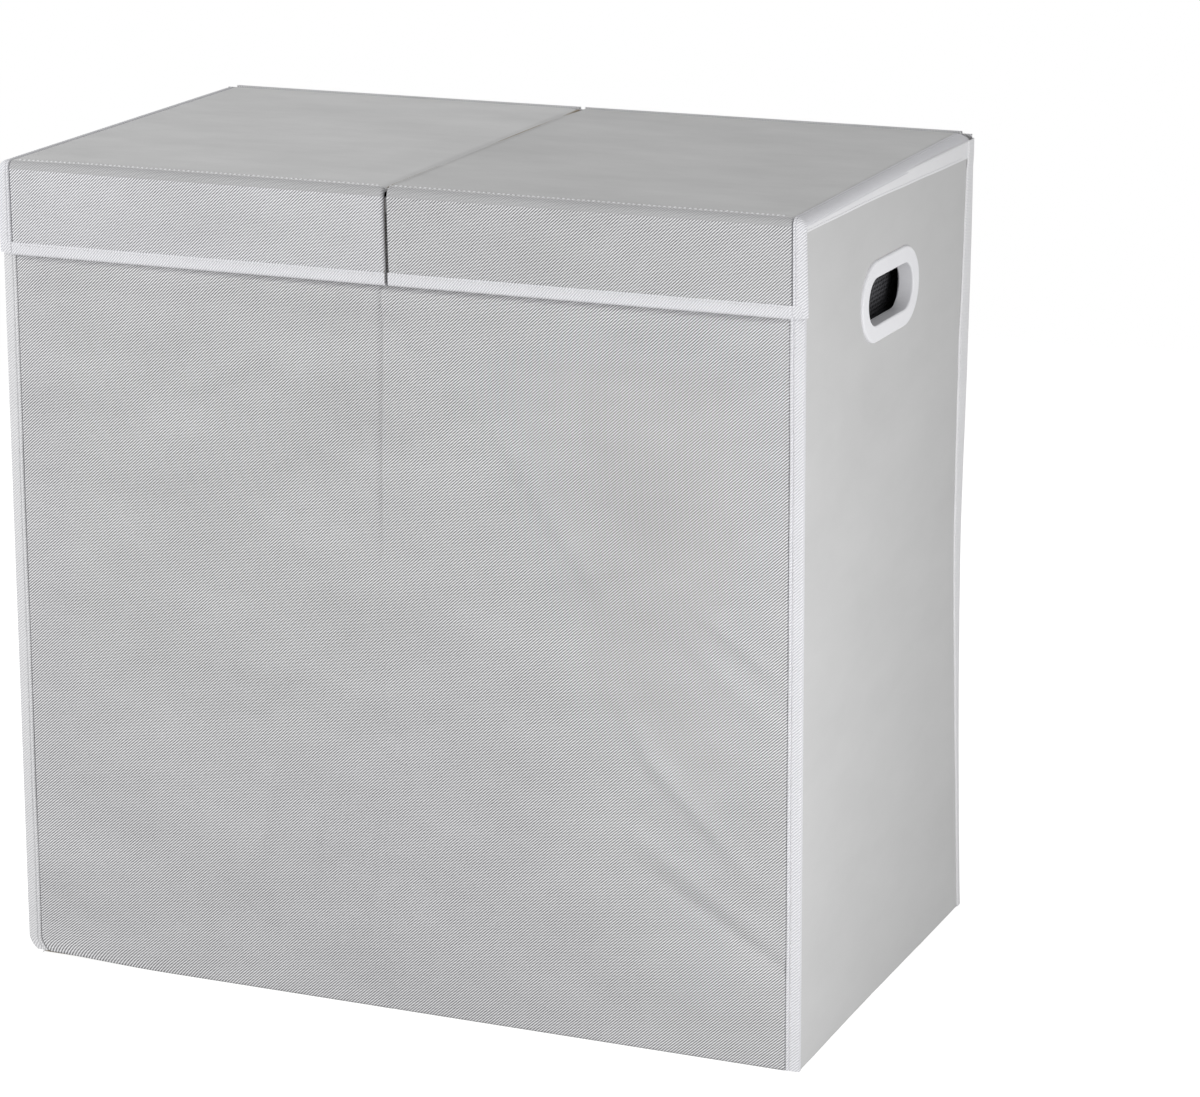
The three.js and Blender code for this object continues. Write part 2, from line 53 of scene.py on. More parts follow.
HANDS = {"left": -1, "right": 1}
ENDS = {"front": -1, "back": 1}

# The hamper's sizes in millimetres, as in the part's source
BOX_HALF = 289.8
BOX_FRONT = -159.1
BOX_BACK = 165.1
FRONT_TOP = 569.7616
BACK_TOP = 577.55
WALL_TOP = 573.7558
COVER_BOTTOM = 0.7
WALL_BOTTOM = 0.9
ROOM_HALF = 285.4
ROOM_FRONT = -154.7
ROOM_BACK = 160.7
ROOM_MIDDLE = 3.0
CLOTH = 0.6
TAPE = 0.4
RIM_DROP = 9.0
LID_HALF = 283.0715
LID_TOP = 577.85
LID_BACK = 163.7
LID_THICK = 3.9
LID_SPLIT = 1.2
FLAP_FACE = -164.6
FLAP_DROP = 65.0
CREASE_RADIUS = 5.0
HEM_RISE = 9.0
HINGE_Y = 165.9
HANDLE_Z = 496.85
SLOT_HALF = 26.0
SLOT_RADIUS = 16.0
BAG_X = 140.8
BAG_HALF_X = 135.6
BAG_HALF_Y = 154.8
BAG_CORNER = 18.0
BAG_TOP = 559.7616
BAG_BOTTOM = 4.2
BAG_HEM = 30.0
STRAP_Z = 551.7616
STRAP_WIDTH = 22.0
STRAP_HALF_SPAN = 55.0
STRAP_HANG = 88.0
STRAP_BEND = 30.0
STRAP_THICK = 1.6
DIVIDER_HALF = 1.5
DIVIDER_TOP = 559.7616

# ---- camera

IMAGE_WIDTH = 1200
FOCAL_PIXELS = 4019.1
SENSOR = 36.0
CAMERA_PLACE = Vector((1138.3, -2491.3, 1068.2)) * MM
CAMERA_AZIMUTH = math.radians(22.995)
CAMERA_DOWN = math.radians(15.877)
CAMERA_ROLL = math.radians(-0.442)

ahead = Vector((
    -math.sin(CAMERA_AZIMUTH) * math.cos(CAMERA_DOWN),
    math.cos(CAMERA_AZIMUTH) * math.cos(CAMERA_DOWN),
    -math.sin(CAMERA_DOWN),
))
level_right = ahead.cross(Vector((0, 0, 1))).normalized()
level_up = level_right.cross(ahead)
camera_right = level_right * math.cos(CAMERA_ROLL) + level_up * math.sin(CAMERA_ROLL)
camera_up = level_up * math.cos(CAMERA_ROLL) - level_right * math.sin(CAMERA_ROLL)
turned = Matrix((camera_right, camera_up, -ahead)).transposed().to_4x4()

camera_data = bpy.data.cameras.new("camera")
camera_data.sensor_fit = "HORIZONTAL"
camera_data.sensor_width = SENSOR
camera_data.lens = FOCAL_PIXELS * SENSOR / IMAGE_WIDTH
camera_data.clip_end = 60
camera = bpy.data.objects.new("camera", camera_data)
camera.matrix_world = Matrix.Translation(CAMERA_PLACE) @ turned
bpy.context.scene.collection.objects.link(camera)
bpy.context.scene.camera = camera

# ---- materials


def linear(code):
    """An sRGB hex colour as linear RGBA."""
    parts = [int(code[i:i + 2], 16) / 255 for i in (0, 2, 4)]
    return tuple(c / 12.92 if c <= 0.04045 else ((c + 0.055) / 1.055) ** 2.4 for c in parts) + (1.0,)


def add(tree, kind, inputs=None, operation=None, **settings):
    """Adds a shader node: its settings, then its inputs, as values, sockets or nodes' first outputs."""
    node = tree.nodes.new("ShaderNode" + kind)
    if operation:
        node.operation = operation
    for key, value in settings.items():
        setattr(node, key, value)
    for key, value in (inputs or {}).items():
        if isinstance(value, bpy.types.Node):
            value = value.outputs[0]
        if isinstance(value, bpy.types.NodeSocket):
            tree.links.new(value, node.inputs[key])
        else:
            node.inputs[key].default_value = value
    return node


def calc(tree, operation, *values, kind="Math"):
    """Adds a math node on some values, sockets or nodes."""
    return add(tree, kind, dict(enumerate(values)), operation)


def tint(tree, share, dark, light):
    """Mixes two sRGB hex colours by a node's share, and gives the mix's socket."""
    colours = {"Factor": share, "A": linear(dark), "B": linear(light)}
    return add(tree, "Mix", colours, data_type="RGBA").outputs[2]


def new_material(name, **shader):
    """A material with one Principled shader and its fixed values."""
    material = bpy.data.materials.new(name)
    material.use_nodes = True
    tree = material.node_tree
    surface = tree.nodes["Principled BSDF"]
    for key, value in shader.items():
        surface.inputs[key.replace("_", " ")].default_value = value
    return material, tree, surface


def dress(tree, surface, shade, rough, height, strength, relief):
    """Gives the shader its colour, from a socket, its roughness, and a bump with its relief in mm."""
    tree.links.new(shade, surface.inputs["Base Color"])
    tree.links.new(rough.outputs[0], surface.inputs["Roughness"])
    if relief:
        bump = add(tree, "Bump", {"Height": height, "Strength": strength, "Distance": relief * MM})
        tree.links.new(bump.outputs[0], surface.inputs["Normal"])


# The emboss, as it measures in the photo: rows 1.48 mm apart, cut into dashes 3.1 rows long
ROW_PITCH = 1.48
ROW_SLANT = math.radians(-42)
ROW_WANDER = 1.1
DASH_LENGTH = 3.1 * ROW_PITCH
DASH_DEPTH = 0.14


def spunbond(name, high, low, emboss, relief, mottle):
    """Spunbond polypropylene cloth: bonded fibres, pressed with slanted rows of short dashes. The colours
    are those of the rows' tops and of the hollows between them, and the hollows' darkness is partly painted
    shade of the relief. It reads the cut's own map, in metres."""
    material, tree, surface = new_material(name, Sheen_Weight=0.08, Sheen_Roughness=0.5)
    cut = add(tree, "UVMap", uv_map="cut")
    wobble = add(tree, "TexNoise", {"Vector": cut, "Scale": 300.0, "Detail": 1.0})
    turned_cut = add(tree, "VectorRotate", {"Vector": cut, "Angle": ROW_SLANT}, rotation_type="Z_AXIS")
    parts = add(tree, "SeparateXYZ", {0: turned_cut})
    row_turns = 2 * math.pi / (ROW_PITCH * MM)
    dash_turns = 2 * math.pi / (DASH_LENGTH * MM)
    drift = calc(tree, "MULTIPLY", wobble, ROW_WANDER)
    rows = calc(tree, "MULTIPLY_ADD", parts.outputs[1], row_turns, drift)
    row_wave = calc(tree, "SINE", rows)
    half_rows = calc(tree, "MULTIPLY", rows, 0.5)
    dashes = calc(tree, "MULTIPLY_ADD", parts.outputs[0], dash_turns, half_rows)
    dash_wave = calc(tree, "SINE", dashes)
    height = calc(tree, "MULTIPLY_ADD", dash_wave, DASH_DEPTH, row_wave)
    # The press bites unevenly, in patches of about a centimetre
    patches = add(tree, "TexNoise", {"Vector": cut, "Scale": 85.0, "Detail": 4.0, "Roughness": 0.6})
    bite = {"From Min": 0.3, "From Max": 0.7, "To Min": 0.75 * emboss, "To Max": 1.15 * emboss}
    strength = add(tree, "MapRange", {"Value": patches, **bite})
    shown = calc(tree, "MULTIPLY", height, strength)
    fibres = add(tree, "TexNoise", {"Vector": cut, "Scale": 900.0, "Detail": 2.0, "Roughness": 0.7})
    fibre_tone = calc(tree, "MULTIPLY_ADD", fibres, 0.3, 0.35)
    # The rows' hollows are painted darker than their tops: painted shade of the relief, along with the bump
    tone = calc(tree, "MULTIPLY_ADD", shown, 0.5, fibre_tone)
    shade = tint(tree, tone, low, high)
    # Broad clouds, drawn out across the cloth, where the web of fibres is thicker or thinner
    strokes = calc(tree, "MULTIPLY", cut, (0.45, 1.0, 1.0), kind="VectorMath")
    clouds = add(tree, "TexNoise", {"Vector": strokes, "Scale": 20.0, "Detail": 6.0, "Roughness": 0.62})
    spread = {"From Min": 0.3, "From Max": 0.7, "To Min": 1 - mottle, "To Max": 1 + mottle}
    cloud_tone = add(tree, "MapRange", {"Value": clouds, **spread})
    tinted = add(tree, "VectorMath", {0: shade, "Scale": cloud_tone}, "SCALE")
    rough = add(tree, "MapRange", {"Value": fibres, "To Min": 0.78, "To Max": 0.98})
    fuzz = calc(tree, "MULTIPLY_ADD", fibres, 0.5, shown)
    dress(tree, surface, tinted.outputs[0], rough, fuzz, 0.6, relief)
    return material


grey_cloth = spunbond("embossed_grey_spunbond", "f4f4f6", "68686a", 1.0, 0.16, 0.06)
# The left lid and its flap take a paler copy of the same cloth: painted light, for the stronger light that
# falls on them from the left
painted_light_cloth = spunbond("painted_light_embossed_grey_spunbond", "fbfbfe", "78787b", 1.0, 0.16, 0.06)
# The end walls, the lid tops and the inside take copies of the cloth on which the rows, and the shade
# painted in their hollows, hardly stand out
flat_cloth = spunbond("flat_grey_spunbond", "dbdbdb", "bdbdbd", 0.06, 0.03, 0.07)
# The left lid's top takes a paler copy of the flat cloth too, as painted light
painted_light_flat_cloth = spunbond("painted_light_flat_grey_spunbond", "e6e6e6", "c8c8c8", 0.06, 0.03, 0.07)
wall_cloth = spunbond("flat_wall_grey_spunbond", "d6d6d6", "c6c6c6", 0.06, 0.03, 0.03)
crease_cloth = spunbond("pressed_grey_spunbond", "d5d5d6", "878789", 0.6, 0.1, 0.03)
lining_cloth = spunbond("plain_grey_lining", "c4c4c4", "b2b2b2", 0.3, 0.05, 0.03)
white_tape = spunbond("white_spunbond_binding", "f8f8fb", "c4c4c9", 1.0, 0.14, 0.02)
bright_tape = spunbond("bright_spunbond_binding", "ffffff", "e2e2e6", 1.0, 0.14, 0.02)
greyer_tape = spunbond("greyer_spunbond_binding", "f2f2f3", "c2c2c5", 1.0, 0.14, 0.02)
smooth_tape = spunbond("smooth_white_binding", "f6f6f8", "eeeef0", 0.25, 0.04, 0.02)


def flecked(name, dark, light, grain, smooth, dull, relief=0.0, **shader):
    """A material whose tone and gloss, and height in mm, follow a noise through the solid."""
    material, tree, surface = new_material(name, **shader)
    spot = add(tree, "TexCoord").outputs["Object"]
    fleck = add(tree, "TexNoise", {"Vector": spot, **grain})
    shade = tint(tree, fleck, dark, light)
    rough = add(tree, "MapRange", {"Value": fleck, "To Min": smooth, "To Max": dull})
    dress(tree, surface, shade, rough, fleck, 0.2, relief)
    return material


# Injection-moulded polypropylene: white, softly glossy, with a faint flow unevenness
white_plastic = flecked(
    "white_moulded_polypropylene", "ebebef", "f3f3f6", {"Scale": 60.0, "Detail": 2.0}, 0.28, 0.42,
    relief=0.2, IOR=1.49, Coat_Weight=0.15, Coat_Roughness=0.2,
)
# Greyboard: pressed waste paper, flat and dull with darker flecks
greyboard = flecked(
    "pressed_greyboard", "857a69", "ab9f8c", {"Scale": 420.0, "Detail": 4.0, "Roughness": 0.7}, 0.85, 1.0
)

NET_PITCH = 3.4
NET_HOLE = 0.75
NET_ROUND = 0.58 * NET_PITCH


def netting(name, dark, light):
    """Warp-knitted polyester net: thread round open cells, every other row set off by half a cell. Real
    cells are about 2 mm apart, and they are drawn 3.4 mm apart, so that they show."""
    material, tree, surface = new_material(name)
    cut = add(tree, "UVMap", uv_map="cut")
    cell = (NET_PITCH * MM, NET_PITCH * MM * math.sqrt(3), 1.0)
    nearest = []
    for shift in (0.0, 0.5):
        scaled = calc(tree, "DIVIDE", cut, cell, kind="VectorMath")
        moved = calc(tree, "ADD", scaled, (shift, shift, 0), kind="VectorMath")
        part = calc(tree, "FRACTION", moved, kind="VectorMath")
        middle = calc(tree, "SUBTRACT", part, (0.5, 0.5, 0), kind="VectorMath")
        real = calc(tree, "MULTIPLY", middle, cell, kind="VectorMath")
        flat = calc(tree, "MULTIPLY", real, (1, 1, 0), kind="VectorMath")
        nearest.append(calc(tree, "LENGTH", flat, kind="VectorMath").outputs["Value"])
    distance = calc(tree, "MINIMUM", nearest[0], nearest[1])
    thread = calc(tree, "GREATER_THAN", distance, NET_HOLE * MM)
    swell = {"From Min": NET_HOLE * MM, "From Max": NET_ROUND * MM}
    arch = add(tree, "MapRange", {"Value": distance, **swell})
    # Each thread is painted lighter along its middle and darker by the holes: painted highlight and shade of
    # its round section
    shade = tint(tree, arch, dark, light)
    rough = add(tree, "MapRange", {"Value": arch, "To Min": 0.6, "To Max": 0.85})
    dress(tree, surface, shade, rough, arch, 0.6, 0.4)
    tree.links.new(thread.outputs[0], surface.inputs["Alpha"])
    return material


net = netting("black_polyester_net", "2a2a2c", "5e5e62")


def woven(name, dark, light, rib):
    """Woven polypropylene webbing: ribs along the length, crossed by the weft."""
    material, tree, surface = new_material(name, Sheen_Weight=0.2)
    cut = add(tree, "UVMap", uv_map="cut")
    parts = add(tree, "SeparateXYZ", {0: cut})
    turns = 2 * math.pi / (rib * MM)
    warp_turns = calc(tree, "MULTIPLY", parts.outputs[0], turns)
    half_turns = calc(tree, "MULTIPLY", warp_turns, 0.5)
    weft_turns = calc(tree, "MULTIPLY_ADD", parts.outputs[1], turns / 0.8, half_turns)
    warp = calc(tree, "SINE", warp_turns)
    weft = calc(tree, "SINE", weft_turns)
    height = calc(tree, "MULTIPLY_ADD", weft, 0.6, warp)
    share = add(tree, "MapRange", {"Value": height, "From Min": -1.6, "From Max": 1.6})
    # The tone follows the weave's height, lighter on the ribs' tops and darker in the hollows: painted
    # highlight and shade of the weave
    shade = tint(tree, share, dark, light)
    rough = add(tree, "MapRange", {"Value": share, "To Min": 0.9, "To Max": 0.65})
    dress(tree, surface, shade, rough, share, 0.7, 0.3)
    return material


black_webbing = woven("black_polypropylene_webbing", "17171a", "424247", 1.6)
hook_tape = woven("black_hook_and_loop_tape", "0e0e10", "2b2b2f", 1.1)
stitch_thread = woven("white_polyester_thread", "d8d8da", "f2f2f4", 0.8)

# ---- shaping


def walk(corners, size):
    """The path through some corners in even steps of about a size, as a profile."""
    found = [corners[0]]
    for start, end in zip(corners, corners[1:]):
        count = max(1, round(math.dist(start, end) / size))
        found += [tuple(a + (b - a) * k / count for a, b in zip(start, end)) for k in range(1, count + 1)]
    return profile(found)


def marks(stops, sizes):
    """Even marks between neighbouring stops, each stretch cut into steps of at most its size."""
    found = [stops[0]]
    for start, end, size in zip(stops, stops[1:], sizes):
        count = max(1, math.ceil(abs(end - start) / size))
        found += [start + (end - start) * k / count for k in range(1, count + 1)]
    return found


def profile(points):
    """A section's points, each with its distance along the section put first."""
    found = [(0.0, *points[0])]
    for before, point in zip(points, points[1:]):
        found.append((found[-1][0] + math.dist(before, point), *point))
    return found


def arc(middle, radius, start, end, count):
    """Points on a round stretch, its angles in degrees."""
    angles = [math.radians(start + (end - start) * k / count) for k in range(count + 1)]
    return [(middle[0] + radius * math.cos(a), middle[1] + radius * math.sin(a)) for a in angles]


def ease(value, low, high):
    """A smooth step from 0 at low to 1 at high."""
    share = min(max((value - low) / (high - low), 0.0), 1.0)
    return share * share * (3 - 2 * share)


def hump(value, width):
    """A smooth hump of height 1 round 0."""
    return math.exp(-((value / width) ** 2))


def ripple(a, b, size, seed):
    """Slow unevenness between -1 and 1, the same on each run."""
    return noise.noise(Vector((a / size, b / size, seed * 7.31)))


SHARP_ANGLE = math.radians(50)
WELD_M = 0.00001


def lay(name, across, along, place, material, thickness=0.0, closed=False, turn=1, keep=None, others=()):
    """A piece made from a grid that place() lays out in mm. across and along are distances on the cut, or
    tuples that begin with them, and the cut's own map records them. thickness grows to both sides.
    others are further finishes, each with a test on the marks for where it shows."""
    mesh = bmesh.new()
    bmesh.ops.create_grid(mesh, x_segments=len(across) - 1, y_segments=len(along) - 1, size=0.5)
    distance = [[mark[0] if isinstance(mark, tuple) else mark for mark in line] for line in (across, along)]
    spot = {}
    for point in mesh.verts:
        i = round((point.co.x + 0.5) * (len(across) - 1))
        j = round((point.co.y + 0.5) * (len(along) - 1))
        spot[point] = (i, j)
    cut = mesh.loops.layers.uv.new("cut")
    for face in mesh.faces:
        for loop in face.loops:
            i, j = spot[loop.vert]
            loop[cut].uv = (turn * distance[0][i] * MM, distance[1][j] * MM)
        for index, (_, shows) in enumerate(others):
            if all(shows(across[spot[point][0]], along[spot[point][1]]) for point in face.verts):
                face.material_index = index + 1
    if keep:
        at = {point: keep(across[i], along[j]) for point, (i, j) in spot.items()}
        lost = [face for face in mesh.faces if not all(at[point] for point in face.verts)]
    for point, (i, j) in spot.items():
        point.co = Vector(place(across[i], along[j])) * MM
    if keep:
        bmesh.ops.delete(mesh, geom=lost, context="FACES")
    if closed:
        bmesh.ops.remove_doubles(mesh, verts=mesh.verts, dist=WELD_M)
        bmesh.ops.recalc_face_normals(mesh, faces=mesh.faces)
    piece = show(name, mesh, material, *(other for other, _ in others))
    if thickness:
        wall = piece.modifiers.new("thickness", "SOLIDIFY")
        wall.thickness = thickness * MM
        wall.offset = 0
        wall.use_even_offset = True
        bpy.context.view_layer.update()
        walled = piece.evaluated_get(bpy.context.evaluated_depsgraph_get())
        made = bpy.data.meshes.new_from_object(walled)
        piece.modifiers.clear()
        piece.data = made
    piece.data.shade_smooth()
    piece.data.set_sharp_from_angle(angle=SHARP_ANGLE)
    return piece


def show(name, mesh, *finishes):
    """Puts a bmesh in the scene as an object with its finishes."""
    data = bpy.data.meshes.new(name)
    mesh.to_mesh(data)
    mesh.free()
    for finish in finishes:
        data.materials.append(finish)
    piece = bpy.data.objects.new(name, data)
    bpy.context.scene.collection.objects.link(piece)
    return piece


def on_body(piece, slot, *nodes, body="casing"):
    """The piece rides on a body and stands for some solids. The slot is not used."""
    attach(piece, body)
    if nodes:
        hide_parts(*nodes)


# ---- the box's cloth

# How the walls lean, flare and curl, in mm; each span is where one of these grows, along x, y or z
LEAN_LEFT = 6.1
LEAN_FRONT = 1.6
LEAN_TOP = 545.0
LEAN_BACK = 12.0
LEAN_BACK_TOP = 182
LEFT_OUT = 2.6
LEFT_OUT_TOP = 560
LEFT_OUT_FALL = 50
LEFT_TOE = 12.0
TOE_IN = 7.0
LEFT_CURL = 2.6
CURL_SPAN = (185, 290)
CURL_TOP = 70
FLARE_SPAN = (-60, 165)
HIGH_FLARE = 6.0
HIGH_FLARE_SPAN = (160, 560)
LOW_FLARE = 2.3
LOW_FLARE_SPAN = (150, 320)
BAND_WIDE = 9.0
BAND_BACK = 20.0
BAND_TURN = 2.4
BOTTOM_BEND = 2.0


def settle(x, y, z):
    """Where the box's cloth comes to rest. Its walls lean out towards the floor, most at the left."""
    low = max(LEAN_TOP - z, 0.0) / LEAN_TOP
    lean_y = -LEAN_FRONT * low if y < 0 else LEAN_BACK * max(1 - z / LEAN_BACK_TOP, 0.0) ** 1.5
    share_x = min(abs(x) / BOX_HALF, 1.0)
    share_y = min(abs(y) / BOX_BACK, 1.0)
    if x < 0:
        toe = max(LEFT_TOE - z, 0.0) / LEFT_TOE
        moved_x = TOE_IN * toe ** 2 - LEAN_LEFT * low - LEFT_OUT * ease(LEFT_OUT_TOP - z, 0, LEFT_OUT_FALL)
    else:
        flare = HIGH_FLARE * ease(z, *HIGH_FLARE_SPAN) + LOW_FLARE * (1 - ease(z, *LOW_FLARE_SPAN))
        moved_x = flare * ease(y, *FLARE_SPAN)
    curl = LEFT_CURL * ease(-x, *CURL_SPAN) * max(1 - z / CURL_TOP, 0.0) ** 2
    return x + moved_x * share_x ** 3, y + lean_y * share_y, z + curl


# A back corner's binding, which the wall's cloth partly covers: heights and shares of its full width
BACK_WIDTHS = ((0, 0.3), (100, 0.32), (350, 0.85), (437, 1.0), (520, 0.78), (570, 0.6), (600, 0.6))


def back_width(z):
    """The share of its full width that a back corner's binding shows at a height."""
    for (low, start), (high, end) in zip(BACK_WIDTHS, BACK_WIDTHS[1:]):
        if z <= high:
            return start + (end - start) * (z - low) / (high - low)
    return BACK_WIDTHS[-1][1]


def wall_mark(height):
    """A wall's height as depth and height, so that its cloth turns in under the box at the bottom."""
    if height >= BOTTOM_BEND:
        return 0.0, height
    angle = min((BOTTOM_BEND - height) / BOTTOM_BEND, math.pi / 2)
    beyond = max(BOTTOM_BEND - height - BOTTOM_BEND * math.pi / 2, 0.0)
    return BOTTOM_BEND * (1 - math.cos(angle)) + beyond, BOTTOM_BEND * (1 - math.sin(angle))


# Soft creases in the front cloth: the line from x, z to x, z in mm, its height and its width
CREASES = (
    (-2, 500, 30, 466, 1.9, 5), (28, 470, 108, 388, 1.4, 7), (96, 396, 152, 314, 2.6, 9),
    (60, 448, 124, 352, 1.1, 10), (154, 256, 196, 192, 1.9, 8), (186, 208, 250, 142, 2.9, 9),
    (214, 318, 274, 274, 2.8, 7), (206, 296, 268, 244, 1.7, 9), (184, 128, 276, 74, -2.5, 6),
    (176, 152, 262, 96, 1.7, 8), (-20, 134, -24, 78, 2.3, 6), (-98, 160, -108, 96, 1.7, 10),
    (-60, 150, -66, 90, 1.4, 9), (-160, 426, -98, 456, 1.4, 12), (-190, 390, -120, 400, 1.2, 14),
)
CREASE_FADE = 0.3
CREASE_BEND = 0.15


def crease_height(x, z):
    """How far the creases raise the front cloth at a place."""
    total = 0.0
    for x0, z0, x1, z1, height, width in CREASES:
        long_x, long_z = x1 - x0, z1 - z0
        length = math.hypot(long_x, long_z)
        along = ((x - x0) * long_x + (z - z0) * long_z) / length
        across = ((x - x0) * long_z - (z - z0) * long_x) / length
        if -CREASE_FADE * length < along < (1 + CREASE_FADE) * length and abs(across) < 3 * width:
            fade = ease(along, -CREASE_FADE * length, CREASE_FADE * length)
            fade *= 1 - ease(along, (1 - CREASE_FADE) * length, (1 + CREASE_FADE) * length)
            bend = CREASE_BEND * width * ripple(along, x0, 20, 81)
            total += height * hump(across - bend, width / 1.6) * fade
    return total


# The front cloth: a tent shape, slow waves, a roll below the flaps' hems, and a fold down the middle
HEM_COVER = (508.5, 512.5)
TENT = 1.6
WAVE = 0.8
ROLL = 1.6
ROLL_Z = 502
ROLL_WIDTH = 9
PANEL_PROUD = 1.4
FOLD_X = -4.6
FOLD_TOP = 510
FOLD_DRIFT = 3.5
FOLD_DRIFT_RUN = 160
FOLD_WIDTH = 1.6
FOLD_DEPTH = 1.3
FOLD_CLEAR = (290, 370)
BACK_FOLD = 0.7
BACK_PUFF_END = (90, 180)


def front_puff(x, z):
    """How far the front cloth stands off its boards."""
    shown = 1 - ease(z, *HEM_COVER)
    edge = BOX_HALF - BAND_WIDE - abs(x)
    tent = TENT * (1 - abs(x) / BOX_HALF) * shown
    waves = WAVE * (ripple(x, z, 150, 1) + 0.6) * shown * ease(edge, 0, 30)
    small = 0.2 * ripple(x, z, 26, 2) * shown + 0.3 * (ripple(x, z * 0.8, 55, 6) + 0.5) * shown
    roll = ROLL * hump(z - ROLL_Z, ROLL_WIDTH) * shown
    soft = max(tent + waves + small + roll, 0.0) * ease(z, 0, 60)
    proud = PANEL_PROUD * math.sqrt(min(max(edge - 0.4, 0.0) / 1.2, 1.0))
    return soft * ease(edge, 0, 12) + proud * shown


def wide_place(end):
    """Lays the front or back cloth: x across and height along."""
    face = BOX_FRONT if end < 0 else BOX_BACK

    def place(x, height):
        depth, z = wall_mark(height)
        if end < 0:
            fold = x - FOLD_X + FOLD_DRIFT * ease(FOLD_TOP - z, 0, FOLD_DRIFT_RUN)
            strength = 0.25 + 0.75 * ease(z, *FOLD_CLEAR)
            depth += FOLD_DEPTH * strength * (hump(fold, FOLD_WIDTH) - 0.5 * hump(fold + 5, 4))
            depth -= front_puff(x, z) + crease_height(x, z) * ease(z, 30, 80)
        else:
            depth += BACK_FOLD * hump(x, FOLD_WIDTH)
            depth -= 0.5 * front_puff(-x, z) * (1 - ease(z, *BACK_PUFF_END))
        return settle(x, face - end * (depth + CLOTH / 2), max(z, CLOTH / 2))

    return place


wide_marks = marks(
    [-BOX_HALF + 0.3, -BOX_HALF + 8, -BOX_HALF + 11.5, -BOX_HALF + 20, -16, 4,
     BOX_HALF - 20, BOX_HALF - 11.5, BOX_HALF - 8, BOX_HALF - 0.3],
    [4, 0.4, 2, 4, 0.7, 4, 2, 0.4, 4],
)
bottom_marks = marks([-6, -1.2, 2, 8], [2.5, 0.4, 2])
wide_heights = {
    "front": marks([8, 506, 514, FRONT_TOP], [4, 0.8, 5]),
    "back": marks([8, BACK_TOP], [5]),
}
for tip, end in ENDS.items():
    heights = bottom_marks + wide_heights[tip][1:]
    sheet = lay(f"{tip}_panel_cloth", wide_marks, heights, wide_place(end), grey_cloth, CLOTH, turn=-end)
    on_body(sheet, "cover_cloth", f"{tip}_cover")

HANDLE_CLEAR = 2.6
SIDE_PUFF_END = (545, 560)


def clear_of_handle(y, z):
    """True where a wall's cloth is outside of the handle's hole."""
    reach = math.hypot(max(abs(y) - SLOT_HALF, 0.0), z - HANDLE_Z)
    return reach > SLOT_RADIUS + HANDLE_CLEAR


def side_place(side):
    """Lays an end wall's cloth: y across and height along, under the tapes of the corners at its ends."""

    def place(y, height):
        depth, z = wall_mark(height)
        edge = min(y - BOX_FRONT - BAND_TURN, BOX_BACK - BAND_BACK * back_width(z) - y)
        depth -= 0.5 * math.sqrt(min(max(edge, 0.0) / 1.5, 1.0)) * (1 - ease(z, *SIDE_PUFF_END))
        depth -= 0.35 * (ripple(y, z, 90, 3 + side) + 0.5) * ease(edge, 0, 30) * ease(z, 0, 50)
        depth -= 0.25 * (ripple(y * 3, z * 0.4, 60, 5 + side) + 0.4) * ease(edge, 0, 30)
        return settle(side * (BOX_HALF - CLOTH / 2 - depth), y, max(z, CLOTH / 2))

    return place


side_marks = marks(
    [BOX_FRONT + 0.9, BOX_FRONT + 2, BOX_FRONT + 6, -54, 54, BOX_BACK - 24, BOX_BACK - 0.9],
    [1, 0.5, 6, 3.6, 6, 0.7],
)
side_heights = bottom_marks + marks([8, 450, 535, WALL_TOP], [5, 3.6, 5])[1:]
for hand, side in HANDS.items():
    side_cloth = lay(
        f"{hand}_panel_cloth", side_marks, side_heights, side_place(side), wall_cloth, CLOTH,
        turn=side, keep=clear_of_handle,
    )
    on_body(side_cloth, "cover_cloth", f"{hand}_side_cover")


floor_cloth = lay(
    "floor_cloth", marks([-BOX_HALF + 3, BOX_HALF - 3], [12]), marks([BOX_FRONT + 3, BOX_BACK - 3], [12]),
    lambda x, y: settle(x, y, CLOTH / 2), lining_cloth, CLOTH,
)
on_body(floor_cloth, "cover_cloth", "floor_cover")

# ---- corner bindings

RIDGE = 0.8
BACK_TIP = 0.5
BACK_TIP_SPAN = (556, 562)


def corner_section(wide, narrow, raised):
    """A corner's binding as (out along the first wall from the corner, depth behind its face): a rolled
    ridge along the panel's edge, a flat band, a round corner, and a short leg on the other wall."""
    points = [(-wide + 0.3, -0.1)]
    points += arc((-wide + 1.2, -0.4 * raised), 0.9, 180, 350, 7)
    points += [(-wide + 2.3, -0.2), (-wide + 2.7, -0.55)]
    points += [(-wide + 2.7 + (wide - 3.3) * k / 5, -0.7) for k in range(1, 6)]
    points += arc((-0.6, 0.4), 1.1, 270, 360, 5)[1:]
    points += [(0.5, 0.4 + (narrow - 0.4) * k / 2) for k in (1, 2)]
    return profile(points)


def corner_place(side, end):
    """Lays a corner's binding: its section across and height along. The wide leg is on the front or, at
    the back, on the end wall."""

    def place(mark, z):
        out, depth = mark[1], mark[2]
        if out < -1:
            out *= (1 + 0.05 * ripple(z, side * 40 + end * 90, 70, 11)) * (back_width(z) if end > 0 else 1)
        swell = 0.12 * ripple(z, side * 10 + out, 26, 12)
        if end > 0:
            swell += BACK_TIP * ease(z, *BACK_TIP_SPAN)
        if end < 0:
            x, y = BOX_HALF + out, BOX_FRONT + depth - swell
        else:
            x, y = BOX_HALF - depth + swell, BOX_BACK + out
        return settle(side * x, y, max(z, CLOTH / 2))

    return place


